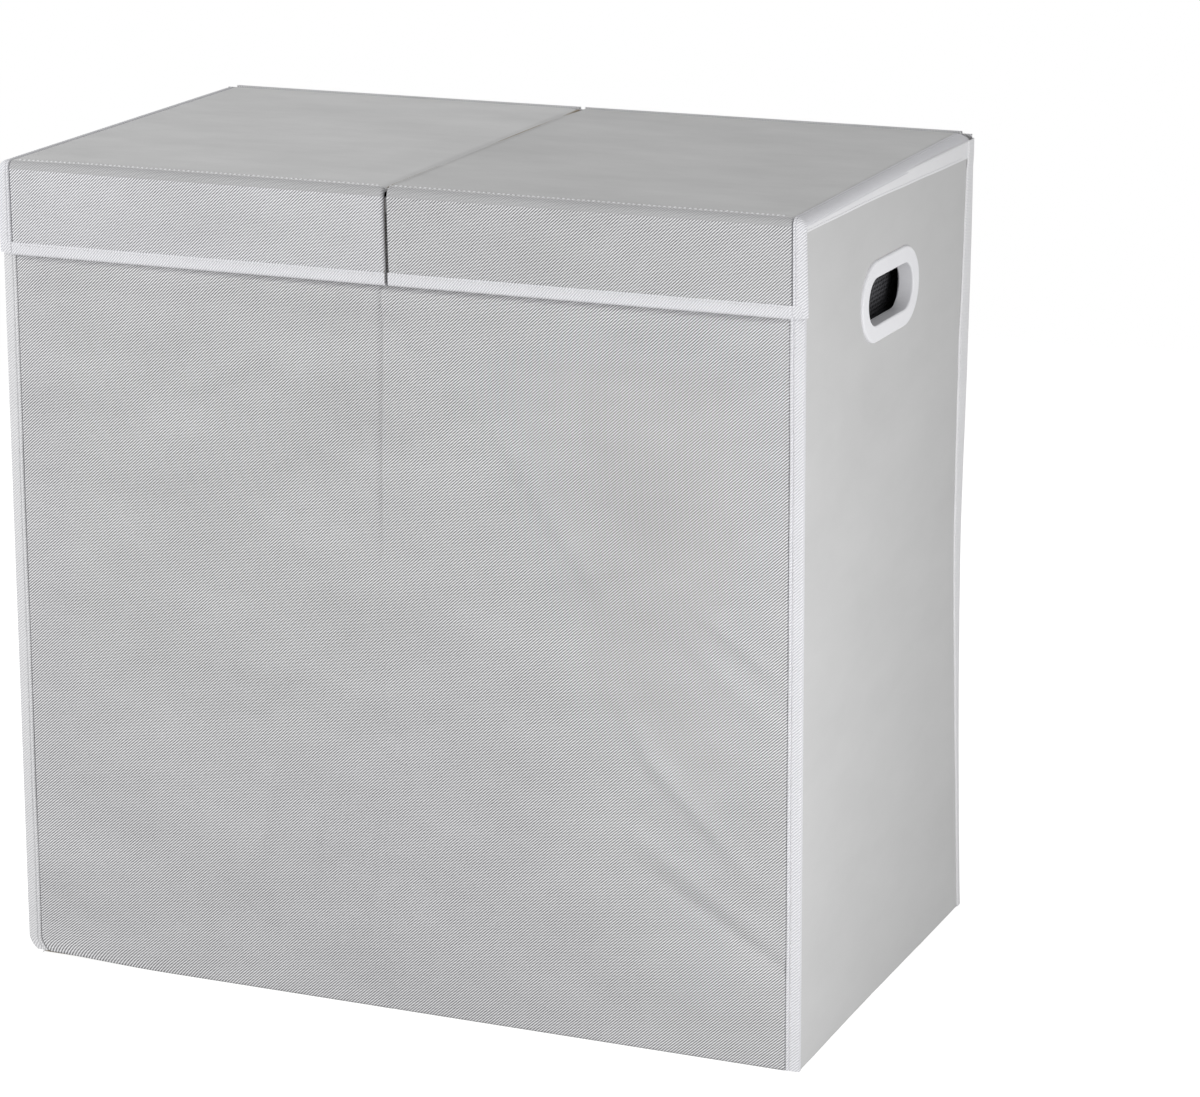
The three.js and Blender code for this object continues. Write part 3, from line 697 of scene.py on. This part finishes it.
for hand, side in HANDS.items():
    for tip, end in ENDS.items():
        wide = BAND_WIDE if end < 0 else BAND_BACK
        top = FRONT_TOP - 0.3 if end < 0 else WALL_TOP + 1.0
        # The back corners take a brighter copy of the tape, and the front left corner a greyer one
        finish = bright_tape if end > 0 else greyer_tape if side < 0 else white_tape
        section = corner_section(wide, BAND_TURN, 1.0 if end < 0 else 0.6)
        corner = lay(
            f"{tip}_{hand}_corner_binding", section, marks([COVER_BOTTOM, 13, top], [1.5, 5]),
            corner_place(side, end), finish, TAPE, turn=side * -end,
        )
        on_body(corner, "tape", f"{tip}_{hand}_seam_tape")

# ---- rim tapes


def rim_section(outer, inner, top, drop):
    """A tape folded over a wall's top edge, as (across the wall, height)."""
    bend = 0.5
    half = TAPE / 2 + 0.1
    sign = 1 if outer > inner else -1
    high = top + half
    points = [(outer + sign * half, top - drop * (1 - k / 4)) for k in range(4)]
    points += [(outer + sign * half, high - bend), (outer + sign * (half - 0.15), high - 0.15)]
    points += [(outer - sign * (bend - half), high), (inner + sign * (bend - half), high)]
    points += [(inner - sign * (half - 0.15), high - 0.15), (inner - sign * half, high - bend)]
    points += [(inner - sign * half, top - drop * k / 4) for k in range(1, 5)]
    return profile(points)


RIM_LIFT = 3.0
RIM_FALL = 5.5


def rim_placer(side):
    """Lays an end wall's rim tape: its section across and y along."""

    def place(mark, y):
        bulge = 0.25 * ripple(y, mark[0] * 3, 40, 21 + side) * ease(WALL_TOP - mark[2], 0, 12)
        lifted = RIM_LIFT - RIM_FALL * (y - BOX_FRONT) / (BOX_BACK - BOX_FRONT)
        lifted *= ease(WALL_TOP - mark[2], 0, RIM_DROP)
        return settle(side * (mark[1] + bulge), y, mark[2] + lifted + 0.25 * ripple(y, 0, 50, 23))

    return place


for hand, side in HANDS.items():
    rim = lay(
        f"{hand}_rim_binding", rim_section(BOX_HALF, ROOM_HALF, WALL_TOP, RIM_DROP),
        marks([BOX_FRONT + 0.2, BOX_BACK - 6], [5]), rim_placer(side), smooth_tape, TAPE,
    )
    on_body(rim, "tape", f"{hand}_rim_tape")


front_rim = lay(
    "front_rim_binding", rim_section(BOX_FRONT, ROOM_FRONT, FRONT_TOP, RIM_DROP),
    marks([-BOX_HALF + 0.5, BOX_HALF - 0.5], [6]),
    lambda mark, x: (x, mark[1] + 0.05 * ripple(x, mark[0] * 3, 40, 25), mark[2]), smooth_tape, TAPE,
)
on_body(front_rim, "tape", "front_rim_tape")

# ---- lids and flaps

FLAT_RUN = LID_BACK - FLAP_FACE - CREASE_RADIUS
CREASE_RUN = CREASE_RADIUS * math.pi / 2
FLAP_RUN = FLAP_DROP - CREASE_RADIUS
LID_RUN = FLAT_RUN + CREASE_RUN + FLAP_RUN


def lid_point(run, depth):
    """A point of a lid and its flap as (y, z): run goes along the outer face from the back edge."""
    if run <= FLAT_RUN:
        return LID_BACK - run, LID_TOP - depth
    turn = min((run - FLAT_RUN) / CREASE_RADIUS, math.pi / 2)
    fall = max(run - FLAT_RUN - CREASE_RUN, 0.0)
    radius = CREASE_RADIUS - depth
    y = FLAP_FACE + CREASE_RADIUS - radius * math.sin(turn)
    return y, LID_TOP - CREASE_RADIUS + radius * math.cos(turn) - fall


# How a lid's cloth stands off its board. The right lid rides a little higher at the split.
RIGHT_LIFT = 1.1
SPLIT_BEAD = 0.7
SPLIT_SINK = 1.2
LEFT_SWELL = 1.2
LEFT_SWELL_RUN = 185
LEFT_SWELL_REACH = 105
FLAP_SWELL = 0.9
LID_WAVE = 0.3
CREASE_BEAD = 0.4
CREASE_LEDGE = 0.35


def lid_puff(side, x, run):
    """How far a lid's outer cloth stands off its board, at a distance x from the hamper's middle."""
    flat = 1 - ease(run, FLAT_RUN - 12, FLAT_RUN + 8)
    edge = LID_HALF - x
    if side > 0:
        lift = RIGHT_LIFT * max(1 - x / LID_HALF, 0.0) ** 1.4 + SPLIT_BEAD * hump(x - 2.6, 1.0)
        lift *= (0.75 + 0.25 * flat) * (1 - ease(run, LID_RUN - 50, LID_RUN))
        lift *= 0.2 + 0.8 * ease(run, 4, 50)
    else:
        swell = 0.1 + LEFT_SWELL * hump(run - LEFT_SWELL_RUN, LEFT_SWELL_REACH)
        lift = swell * ease(x, 2, 48) * ease(edge, 0, 200) * flat
        lift -= SPLIT_SINK * hump(x - LID_SPLIT, 3.5) * flat
        lift += FLAP_SWELL * ease(edge, 4, 70) * (1 - flat) * (1 - ease(run, LID_RUN - 45, LID_RUN - 12))
    waves = LID_WAVE * (ripple(side * x, run, 80, 31) + 0.5) * (0.4 + 0.6 * flat)
    waves *= ease(edge, 0, 40) * ease(run, 0, 30)
    past = run - FLAT_RUN
    bead = CREASE_BEAD * hump(past, 1.6) + CREASE_LEDGE * ease(past, CREASE_RUN, CREASE_RUN + 0.9)
    bead *= ease(edge, 1, 5) * (1 - ease(run, LID_RUN - 14, LID_RUN - 9))
    return lift + max(waves, 0.0) + bead


def flange_droop(out):
    """How far a lid's seam hangs over the end wall's rim, by the distance from the lid's edge."""
    return 0.04 * out + 0.085 * max(out - 3.0, 0.0) ** 2 + 0.25 * max(out - 7.4, 0.0) ** 2


# A lid's cloth round its board, as (x from the hamper's middle, depth): the upper ply of the outer seam,
# the top, the edge at the split, the inside and the lower ply
sheath_bend = (LID_THICK - CLOTH) / 2
sheath_points = [(290.5, 0.95), (287.5, 1.0), (285.3, 1.3), (284.0, 1.9), (283.2, 2.0), (282.9, 1.7)]
sheath_points += arc((282.0, 1.2), 0.9, 0, -90, 5)
sheath_points += [(280.0, 0.3), (278.0, 0.3), (276.0, 0.3)]
sheath_points += [(x, 0.3) for x in marks([276, 10, LID_SPLIT + 0.3 + sheath_bend], [6, 0.5])[1:]]
sheath_points += arc((LID_SPLIT + 0.3 + sheath_bend, LID_THICK / 2), sheath_bend, -90, -270, 6)[1:]
sheath_points += [(x, LID_THICK - 0.3) for x in marks([8, 276, 280], [12, 2])]
sheath_points += [(281.5, 3.3), (282.6, 2.9), (283.4, 2.65), (285, 2.0), (287.5, 1.7), (290.5, 1.55)]
sheath_section = profile(sheath_points)
lid_runs = marks([0, 1, 6, FLAT_RUN - 4, FLAT_RUN + CREASE_RUN + 4, LID_RUN - 0.6], [0.25, 2, 6, 0.6, 5])


def sheath_place(side):
    """Lays a lid's cloth round its boards: its section across, and the run from back edge to hem along."""

    def place(mark, run):
        x, depth = mark[1], mark[2]
        depth -= lid_puff(side, x, run) * (1 - depth / LID_THICK)
        if x > LID_HALF:
            depth += flange_droop(x - LID_HALF) * (1 - 0.6 * ease(run, FLAT_RUN - 6, FLAT_RUN + 12))
        pinch = math.sqrt(max(1 - (1 - min(run, 1.0)) ** 2, 0.02))
        depth = LID_THICK / 2 + (depth - LID_THICK / 2) * pinch
        y, z = lid_point(run, depth)
        return side * x, y, z

    return place


def bound_section(reach, thick, ridges):
    """A seam's binding as (out, depth): ridges by the seam, a flat band, a round edge, and the back."""
    points = [(0.9, 1.7)]
    for k in range(ridges):
        middle = 1.7 + k * 2 * RIDGE
        points += [(middle - RIDGE, 0.45)]
        points += arc((middle, 0.45), RIDGE, 215, 325, 6)
        points += [(middle + RIDGE, 0.45)]
    inner = 1.7 + (2 * ridges - 1) * RIDGE
    points += [(inner + 0.4, 0.25)]
    count = max(2, round((reach - inner) / 1.2))
    tip = reach - thick / 2
    points += [(inner + 0.6 + (tip - inner - 0.6) * k / count, 0.0) for k in range(count + 1)]
    points += arc((tip, thick / 2), thick / 2, -75, 75, 8)
    points += [(tip - (tip - 0.6) * k / 4, thick) for k in range(5)]
    return profile(points)


def over_crease(piece, hand, solid):
    """Cloth that runs over the crease from the lid to its flap; it stands for a solid of each, and its place
    is baked into its mesh.
    """
    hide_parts(f"{hand}_lid_{solid}", f"{hand}_flap_{solid}")
    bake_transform(piece)


def flange_reach(run):
    """A lid seam's width, which grows down the flap."""
    return 1.0 + 0.16 * ease(run, FLAT_RUN, LID_RUN)


def lid_seam_place(side):
    """Lays the binding of a lid's outer edge, round the crease and down the flap."""

    def place(mark, run):
        out = mark[1] * flange_reach(run) * (1 + 0.04 * ripple(run, side * 30, 60, 41))
        if side > 0:
            out *= 1 + 0.3 * hump(run, 70)
        droop = flange_droop(mark[1]) * (1 - 0.6 * ease(run, FLAT_RUN - 6, FLAT_RUN + 12))
        y, z = lid_point(run, mark[2] + droop)
        return side * (LID_HALF + out), y, z

    return place


def hem_place(side):
    """Lays the binding of a flap's bottom edge: its section across, x along. It thins over the flange."""

    def place(mark, x):
        depth, rise = mark[1], mark[2]
        thin = ease(x, LID_HALF - 2, LID_HALF + 3)
        depth = depth + 0.6 * hump(x - LID_HALF - 0.9, 0.9) if depth < 0.4 else depth * (1 - 0.45 * thin)
        depth += 0.4 * flange_droop(max(x - LID_HALF, 0.0))
        rise += 3.0 * max((x - LID_HALF - 4.5) / 4.6, 0.0) ** 2 * (1 - rise / (HEM_RISE + 0.5))
        wobble = 0.25 * ripple(x, side * 20, 45, 43)
        y, z = lid_point(LID_RUN - rise + (wobble if rise > 4 else 0.4 * wobble), depth)
        return side * x, y, z

    return place


hem_points = [(-0.25, HEM_RISE), (-0.3, HEM_RISE - 0.5), (-0.3, 6.0), (-0.3, 3.5)]
hem_points += [(LID_THICK / 2 - 2.25 * math.cos(a), 2.0 - 2.0 * math.sin(a)) for a in
               [math.radians(t) for t in range(0, 181, 15)]]
hem_points += [(LID_THICK + 0.3, 3.5), (LID_THICK + 0.3, 6.0), (LID_THICK + 0.25, HEM_RISE)]

for hand, side in HANDS.items():
    # The left lid and its flap take the paler copies, which paint on the extra light from the left
    rows, plain = (painted_light_cloth, painted_light_flat_cloth) if side < 0 else (grey_cloth, flat_cloth)
    sheath = lay(
        f"{hand}_lid_cloth", sheath_section, lid_runs, sheath_place(side), rows, CLOTH, turn=side,
        others=[
            (crease_cloth, lambda mark, run: FLAT_RUN + 1.0 <= run <= FLAT_RUN + CREASE_RUN + 1.0),
            (plain, lambda mark, run: run <= FLAT_RUN + 1.5),
        ],
    )
    over_crease(sheath, hand, "cover")
    edging = lay(
        f"{hand}_lid_binding", bound_section(9.2, 1.3, 1), marks([4.0, LID_RUN - 1.5], [2.2]),
        lid_seam_place(side), white_tape, TAPE, turn=-side,
    )
    over_crease(edging, hand, "seam_tape")
    hem = lay(
        f"{hand}_hem_binding", profile(hem_points),
        marks([LID_SPLIT, LID_HALF - 6, LID_HALF + 9.1], [5, 0.7]), hem_place(side), white_tape, TAPE,
        turn=-side,
    )
    on_body(hem, "tape", f"{hand}_flap_hem_tape", body=f"{hand}_flap")

# Where a lid hinges, the back wall's cloth is rolled over into a fold round the hinge line
HINGE_Z = 577.85
HINGE_ROLL = 1.0
fold_points = [(BOX_BACK + 0.45, z) for z in (561, 565, 569, 573, 576)]
fold_points += arc((HINGE_Y, HINGE_Z), HINGE_ROLL, -20, 200, 12)
fold_points += [(HINGE_Y - HINGE_ROLL - 0.2, 575.5), (BOX_BACK - 0.4, 574.0)]
fold_points += [(BOX_BACK - 0.7, WALL_TOP + 0.02)]
fold_points += [(BOX_BACK - 0.7 - k, WALL_TOP - 0.02) for k in (1, 2, 3, 4)]


for hand, side in HANDS.items():
    fold = lay(
        f"{hand}_hinge_fold", profile(fold_points), marks([side * 2, side * (LID_HALF - 1)], [6]),
        lambda mark, x: settle(x, mark[1], mark[2]), grey_cloth, CLOTH / 2,
    )
    on_body(fold, "cover_cloth")

# ---- handle rings


SLOT_STEP = 2.0


def slot_loop():
    """Round the handle's slot: distance, then the middle's shift and the direction, all in (y, z)."""
    found = []
    for sign, start in ((1, -90), (-1, 90)):
        for k in range(25):
            angle = math.radians(start + 180 * k / 24)
            found.append((sign * SLOT_HALF, math.cos(angle), math.sin(angle)))
        found += [(sign * SLOT_HALF * (1 - k / 4), *found[-1][1:]) for k in range(1, 8)]
    return [(k * SLOT_STEP, *spot) for k, spot in enumerate(found + found[:1])]


# The ring's section, as (out from the slot's edge, height over the wall)
bezel_face = [(2.0, -7.4), (0.0, -7.4), (0.0, -4.0), (0.0, 0.6), (0.0, 0.9)]
bezel_face += arc((1.2, 1.1), 1.2, 178, 92, 6)
bezel_face += [(1.6, 2.3), (5.0, 2.3), (9.6, 2.2), (10.0, 2.2)]
bezel_face += arc((10.4, 1.1), 1.1, 86, 0, 5)
bezel_face += [(11.5, 0.7), (11.5, 0.1), (2.0, 0.1), (2.0, -7.4)]

for hand, side in HANDS.items():
    def bezel_place(mark, spot):
        reach, lift = mark[1], mark[2]
        y = spot[1] + (SLOT_RADIUS + reach) * spot[2]
        z = HANDLE_Z + (SLOT_RADIUS + reach) * spot[3]
        return settle(side * (BOX_HALF + lift + 0.5 * ease(lift, -2, 0)), y, z)

    bezel = lay(
        f"{hand}_grommet", profile(bezel_face), slot_loop(), bezel_place, white_plastic, closed=True,
    )
    on_body(bezel, "plastic", f"{hand}_handle_bezel")

# ---- inside


# Round the room inside the walls, along the middle of the lining's cloth
lining_x = ROOM_HALF + CLOTH / 2
lining_front = ROOM_FRONT - CLOTH / 2
lining_back = ROOM_BACK + CLOTH / 2
room_corners = [(0, lining_back), (-lining_x, lining_back), (-lining_x, lining_front)]
room_corners += [(-x, y) for x, y in reversed(room_corners)]


def lining_place(mark, z):
    top = FRONT_TOP if mark[2] < ROOM_FRONT + 1 else WALL_TOP
    return mark[1], mark[2], WALL_BOTTOM + (z - WALL_BOTTOM) * (top - WALL_BOTTOM) / (WALL_TOP - WALL_BOTTOM)


lining = lay(
    "room_lining", walk(room_corners, 3.7), marks([WALL_BOTTOM, 450, 535, WALL_TOP], [14, 3.6, 6]),
    lining_place, lining_cloth, CLOTH, closed=True,
    keep=lambda mark, z: abs(mark[1]) < ROOM_HALF or clear_of_handle(mark[2], z),
)
on_body(lining, "lining_cloth", "inner_lining")

sleeve_half = DIVIDER_HALF + 0.1 + CLOTH / 2
sleeve_points = [(-sleeve_half, z) for z in marks([WALL_BOTTOM, DIVIDER_TOP - 2], [30])]
sleeve_points += arc((0, DIVIDER_TOP - CLOTH / 2 - sleeve_half), sleeve_half, 180, 0, 8)
sleeve_points += [(sleeve_half, z) for z in marks([DIVIDER_TOP - 2, WALL_BOTTOM], [30])]


sleeve = lay(
    "divider_cloth", profile(sleeve_points), marks([ROOM_FRONT + 0.3, ROOM_BACK - 0.3], [20]),
    lambda mark, y: (mark[1], y, mark[2]), lining_cloth, CLOTH,
)
on_body(sleeve, "lining_cloth", "divider_sleeve")


def bag_loop(inset):
    """Round a bag: distance, then x and y from its middle."""
    half_x = BAG_HALF_X - inset
    half_y = BAG_HALF_Y - inset
    bend = BAG_CORNER - inset
    found = []
    for sign_x, sign_y, start in ((1, 1, 0), (-1, 1, 90), (-1, -1, 180), (1, -1, 270)):
        found += arc((sign_x * (half_x - bend), sign_y * (half_y - bend)), bend, start, start + 90, 6)
    return walk(found + found[:1], 8)


SAG = 3.0
SAG_WAVE = 3.5


def bag_sag(x, y, z, seed):
    """How far a bag's wall hangs in from its full size."""
    height = (z - BAG_BOTTOM) / (BAG_TOP - BAG_BOTTOM)
    middle = math.sin(math.pi * min(max(height, 0), 1))
    flat = max(abs(x) / BAG_HALF_X, abs(y) / BAG_HALF_Y)
    return (SAG + SAG_WAVE * (ripple(x + z * 0.2, y + z, 110, seed) + 0.5)) * middle * flat


for hand, side in HANDS.items():
    def net_place(mark, z):
        x, y = mark[1], mark[2]
        away = math.hypot(x, y)
        pull = bag_sag(x, y, z, 50 + side)
        pull += 5 * (1 - ease(z, BAG_BOTTOM, BAG_BOTTOM + 10)) ** 2
        return side * BAG_X + x * (1 - pull / away), ROOM_MIDDLE + y * (1 - pull / away), z

    walls = lay(
        f"{hand}_net_walls", bag_loop(0.9), marks([BAG_BOTTOM + 0.8, BAG_BOTTOM + 10, BAG_TOP - 2], [2, 9]),
        net_place, net, 0.5, closed=True,
    )
    on_body(walls, "bag_mesh", f"{hand}_bag_mesh")

    def net_floor_place(x, y):
        out_x = abs(x) - (BAG_HALF_X - BAG_CORNER)
        out_y = abs(y) - (BAG_HALF_Y - BAG_CORNER)
        if out_x > 0 and out_y > 0:
            scale = max(out_x, out_y) / math.hypot(out_x, out_y)
            x = math.copysign(BAG_HALF_X - BAG_CORNER + out_x * scale, x)
            y = math.copysign(BAG_HALF_Y - BAG_CORNER + out_y * scale, y)
        rise = 1.4 * max(ripple(x, y, 45, 60 + side), 0.0)
        return side * BAG_X + x, ROOM_MIDDLE + y, BAG_BOTTOM + 0.4 + rise

    bottom = lay(
        f"{hand}_net_floor", marks([-BAG_HALF_X + 5, BAG_HALF_X - 5], [6]),
        marks([-BAG_HALF_Y + 5, BAG_HALF_Y - 5], [6]), net_floor_place, net, 0.5,
    )
    on_body(bottom, "bag_mesh", f"{hand}_bag_floor")

    def band_place(mark, z):
        x, y = mark[1], mark[2]
        droop = 3.0 * math.cos(min(abs(y) / BAG_HALF_Y, 1) * math.pi / 2) if abs(x) > BAG_HALF_X - 2 else 0.0
        return side * BAG_X + x, ROOM_MIDDLE + y, z - droop

    band = lay(
        f"{hand}_hem_band", bag_loop(0.35), marks([BAG_TOP - BAG_HEM, BAG_TOP], [3]), band_place,
        black_webbing, 0.7, closed=True,
    )
    on_body(band, "webbing", f"{hand}_bag_hem")

# Straps, each a flat U of webbing that hangs inside its bag
strap_low = STRAP_BEND - STRAP_HANG
strap_in = STRAP_HALF_SPAN - STRAP_BEND
strap_line = [(-STRAP_HALF_SPAN, z) for z in marks([0, strap_low], [6])]
strap_line += arc((-strap_in, strap_low), STRAP_BEND, 180, 270, 10)[1:]
strap_line += [(x, -STRAP_HANG) for x in marks([-strap_in, strap_in], [6])[1:]]
strap_line += arc((strap_in, strap_low), STRAP_BEND, 270, 360, 10)[1:]
strap_line += [(STRAP_HALF_SPAN, z) for z in marks([strap_low, 0], [6])[1:]]
strap_marks = []
for index, (run, x, z) in enumerate(profile(strap_line)):
    before = Vector(strap_line[max(index - 1, 0)])
    after = Vector(strap_line[min(index + 1, len(strap_line) - 1)])
    onward = (after - before).normalized()
    strap_marks.append((run, x, z, onward.y, -onward.x))

for hand, side in HANDS.items():
    for tip in ENDS:
        low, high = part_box(f"{hand}_{tip}_strap")
        strap_y = (low.y + high.y) / 2 / MM

        def strap_place(offset, mark):
            x = side * BAG_X + mark[1] + mark[3] * offset
            z = STRAP_Z + mark[2] + mark[4] * offset
            return x, strap_y, z

        strap = lay(
            f"{hand}_{tip}_carry_strap", marks([-STRAP_WIDTH / 2, STRAP_WIDTH / 2], [2.75]), strap_marks,
            strap_place, black_webbing, STRAP_THICK,
        )
        on_body(strap, "webbing", f"{hand}_{tip}_strap", body=f"{hand}_{tip}_strap")

# Hook and loop patches between each bag and the lining
for hand, side in HANDS.items():
    for tip in ENDS:
        for kind in ("hook", "loop"):
            low, high = (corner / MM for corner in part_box(f"{hand}_{tip}_{kind}_tab"))
            middle = (low + high) / 2

            def patch_place(across, along):
                return middle.x + across, middle.y + 0.04 * ripple(across, along, 9, 71), middle.z + along

            patch = lay(
                f"{hand}_{tip}_{kind}_patch", marks([-30, 30], [3]), marks([-10, 10], [2.5]), patch_place,
                hook_tape, 0.9,
            )
            on_body(patch, "hook_tape", f"{hand}_{tip}_{kind}_tab")

# ---- stitching

STITCH_LENGTH = 2.6
STITCH_STEP = 3.5
STITCH_START = 0.4


def sew(name, length, where, body="casing", slot="tape", thick=0.3):
    """A row of stitches in mm: its length, and the function that gives the point at a distance along it."""
    mesh = bmesh.new()
    for k in range(int(length / STITCH_STEP)):
        start = Vector(where(k * STITCH_STEP + STITCH_START))
        end = Vector(where(k * STITCH_STEP + STITCH_START + STITCH_LENGTH))
        turn = (end - start).normalized().to_track_quat("Y", "Z").to_matrix().to_4x4()
        size = Matrix.Diagonal((thick, STITCH_LENGTH / 2, thick, 1))
        place = Matrix.Translation((start + end) / 2) @ turn @ size
        bmesh.ops.create_uvsphere(mesh, u_segments=6, v_segments=4, radius=1.0, matrix=place)
    for point in mesh.verts:
        point.co *= MM
    cut = mesh.loops.layers.uv.new("cut")
    for face in mesh.faces:
        for loop in face.loops:
            loop[cut].uv = (loop.vert.co.x + loop.vert.co.z, loop.vert.co.y)
    piece = show(name, mesh, stitch_thread)
    piece.data.shade_smooth()
    on_body(piece, slot, body=body)


# Where the rows run, as marks on the bindings' sections
HEM_ROW = (0, -0.62, HEM_RISE - 1.6)
SEAM_ROW = (0.0, 3.5, -0.15)
RIM_ROW = (0, BOX_HALF + 0.55, WALL_TOP - RIM_DROP + 1.6)
CREASE_ROW = FLAT_RUN + 0.6
CORNER_INSET = 3.2

for hand, side in HANDS.items():
    hem = hem_place(side)
    seam = lid_seam_place(side)
    rim = rim_placer(side)

    def crease_row(d):
        x = 5 + d
        return side * x, *lid_point(CREASE_ROW, -0.2 - lid_puff(side, x, CREASE_ROW))

    sew(f"{hand}_hem_stitches", LID_HALF - 4, lambda d: hem(HEM_ROW, 2 + d), f"{hand}_flap")
    sew(f"{hand}_lid_seam_stitches", FLAT_RUN - 6, lambda d: seam(SEAM_ROW, 3 + d), f"{hand}_lid")
    sew(
        f"{hand}_flap_seam_stitches", FLAP_RUN - HEM_RISE - 3,
        lambda d: seam(SEAM_ROW, FLAT_RUN + CREASE_RUN + 2 + d), f"{hand}_flap",
    )
    sew(f"{hand}_crease_stitches", LID_HALF - 10, crease_row, f"{hand}_lid", "cover_cloth", thick=0.45)
    sew(
        f"{hand}_rim_stitches", BOX_BACK - BOX_FRONT - BAND_BACK - 4,
        lambda d: rim(RIM_ROW, BOX_FRONT + 2 + d),
    )
    for tip, end in ENDS.items():
        band = corner_place(side, end)
        row = (0, CORNER_INSET - (BAND_WIDE if end < 0 else BAND_BACK), -0.85)
        height = (FRONT_TOP if end < 0 else WALL_TOP) - 6
        sew(f"{tip}_{hand}_corner_stitches", height, lambda d: band(row, 3 + d))

# ---- solids that keep their shape

for node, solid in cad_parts.items():
    finish = greyboard if "board" in node else white_plastic if "handle" in node else None
    if finish:
        solid.data.materials.clear()
        solid.data.materials.append(finish)

# ---- floor, light

FLOOR_SIZE = 30.0
FLOOR_NEAR = 0.9
FLOOR_FAR = 2.0
FLOOR_LIFT = 0.84
floor_mesh = bmesh.new()
bmesh.ops.create_grid(floor_mesh, x_segments=1, y_segments=1, size=FLOOR_SIZE)
floor = show("floor", floor_mesh)
floor.location = (0, 0, -0.2 * MM)

# Plain studio paper: near the hamper it takes the light and the shadow, and further off it is plain white
floor_paper, floor_tree, floor_surface = new_material("white_studio_paper", Roughness=1.0)
floor_surface.inputs["Base Color"].default_value = linear("b4b4b4")
floor_surface.inputs["Specular IOR Level"].default_value = 0.0
rays = add(floor_tree, "LightPath")
seen_or_mirrored = calc(floor_tree, "MAXIMUM", rays.outputs["Is Camera Ray"], rays.outputs["Is Glossy Ray"])
seen = calc(floor_tree, "MAXIMUM", seen_or_mirrored, rays.outputs["Is Transmission Ray"])
floor_spot = add(floor_tree, "TexCoord").outputs["Object"]
away = calc(floor_tree, "LENGTH", floor_spot, kind="VectorMath").outputs["Value"]
far = add(floor_tree, "MapRange", {"Value": away, "From Min": FLOOR_NEAR, "From Max": FLOOR_FAR}).outputs[0]
lift_light = calc(floor_tree, "MULTIPLY", seen, FLOOR_LIFT)
lift = add(floor_tree, "Emission", {"Color": (1, 1, 1, 1), "Strength": lift_light})
plain = add(floor_tree, "Emission", {"Color": (1, 1, 1, 1), "Strength": 1.0})
near = add(floor_tree, "AddShader", {0: floor_surface.outputs[0], 1: lift.outputs[0]})
far_seen = calc(floor_tree, "MULTIPLY", far, seen)
paper = add(floor_tree, "MixShader", {0: far_seen, 1: near.outputs[0], 2: plain.outputs[0]})
floor_tree.links.new(paper.outputs[0], floor_tree.nodes["Material Output"].inputs[0])
floor.data.materials.append(floor_paper)

WORLD_STRENGTH = 0.57
world = bpy.data.worlds.new("studio")
world.use_nodes = True
bpy.context.scene.world = world
world_tree = world.node_tree
world_rays = add(world_tree, "LightPath")
world_seen = calc(
    world_tree, "MAXIMUM", world_rays.outputs["Is Camera Ray"], world_rays.outputs["Is Transmission Ray"]
)
world_level = add(
    world_tree, "MapRange", {"Value": world_seen, "To Min": WORLD_STRENGTH, "To Max": 1.0}
).outputs[0]
world_tree.links.new(world_level, world_tree.nodes["Background"].inputs["Strength"])
world_tree.nodes["Background"].inputs["Color"].default_value = (1, 1, 1, 1)


def lamp(name, place, aim, size, power):
    """A square soft lamp that faces a point."""
    data = bpy.data.lights.new(name, "AREA")
    data.size = size
    data.energy = power
    unit = bpy.data.objects.new(name, data)
    unit.location = place
    unit.rotation_euler = (Vector(aim) - Vector(place)).to_track_quat("-Z", "Y").to_euler()
    bpy.context.scene.collection.objects.link(unit)


lamp("left_softbox", place=(-1.5, -2.0, 0.95), aim=(0.0, -0.16, 0.3), size=0.7, power=30)
lamp("right_softbox", place=(0.95, -0.5, 0.3), aim=(0.27, -0.08, 0.3), size=0.35, power=3.4)

bpy.context.scene.view_settings.view_transform = "Standard"
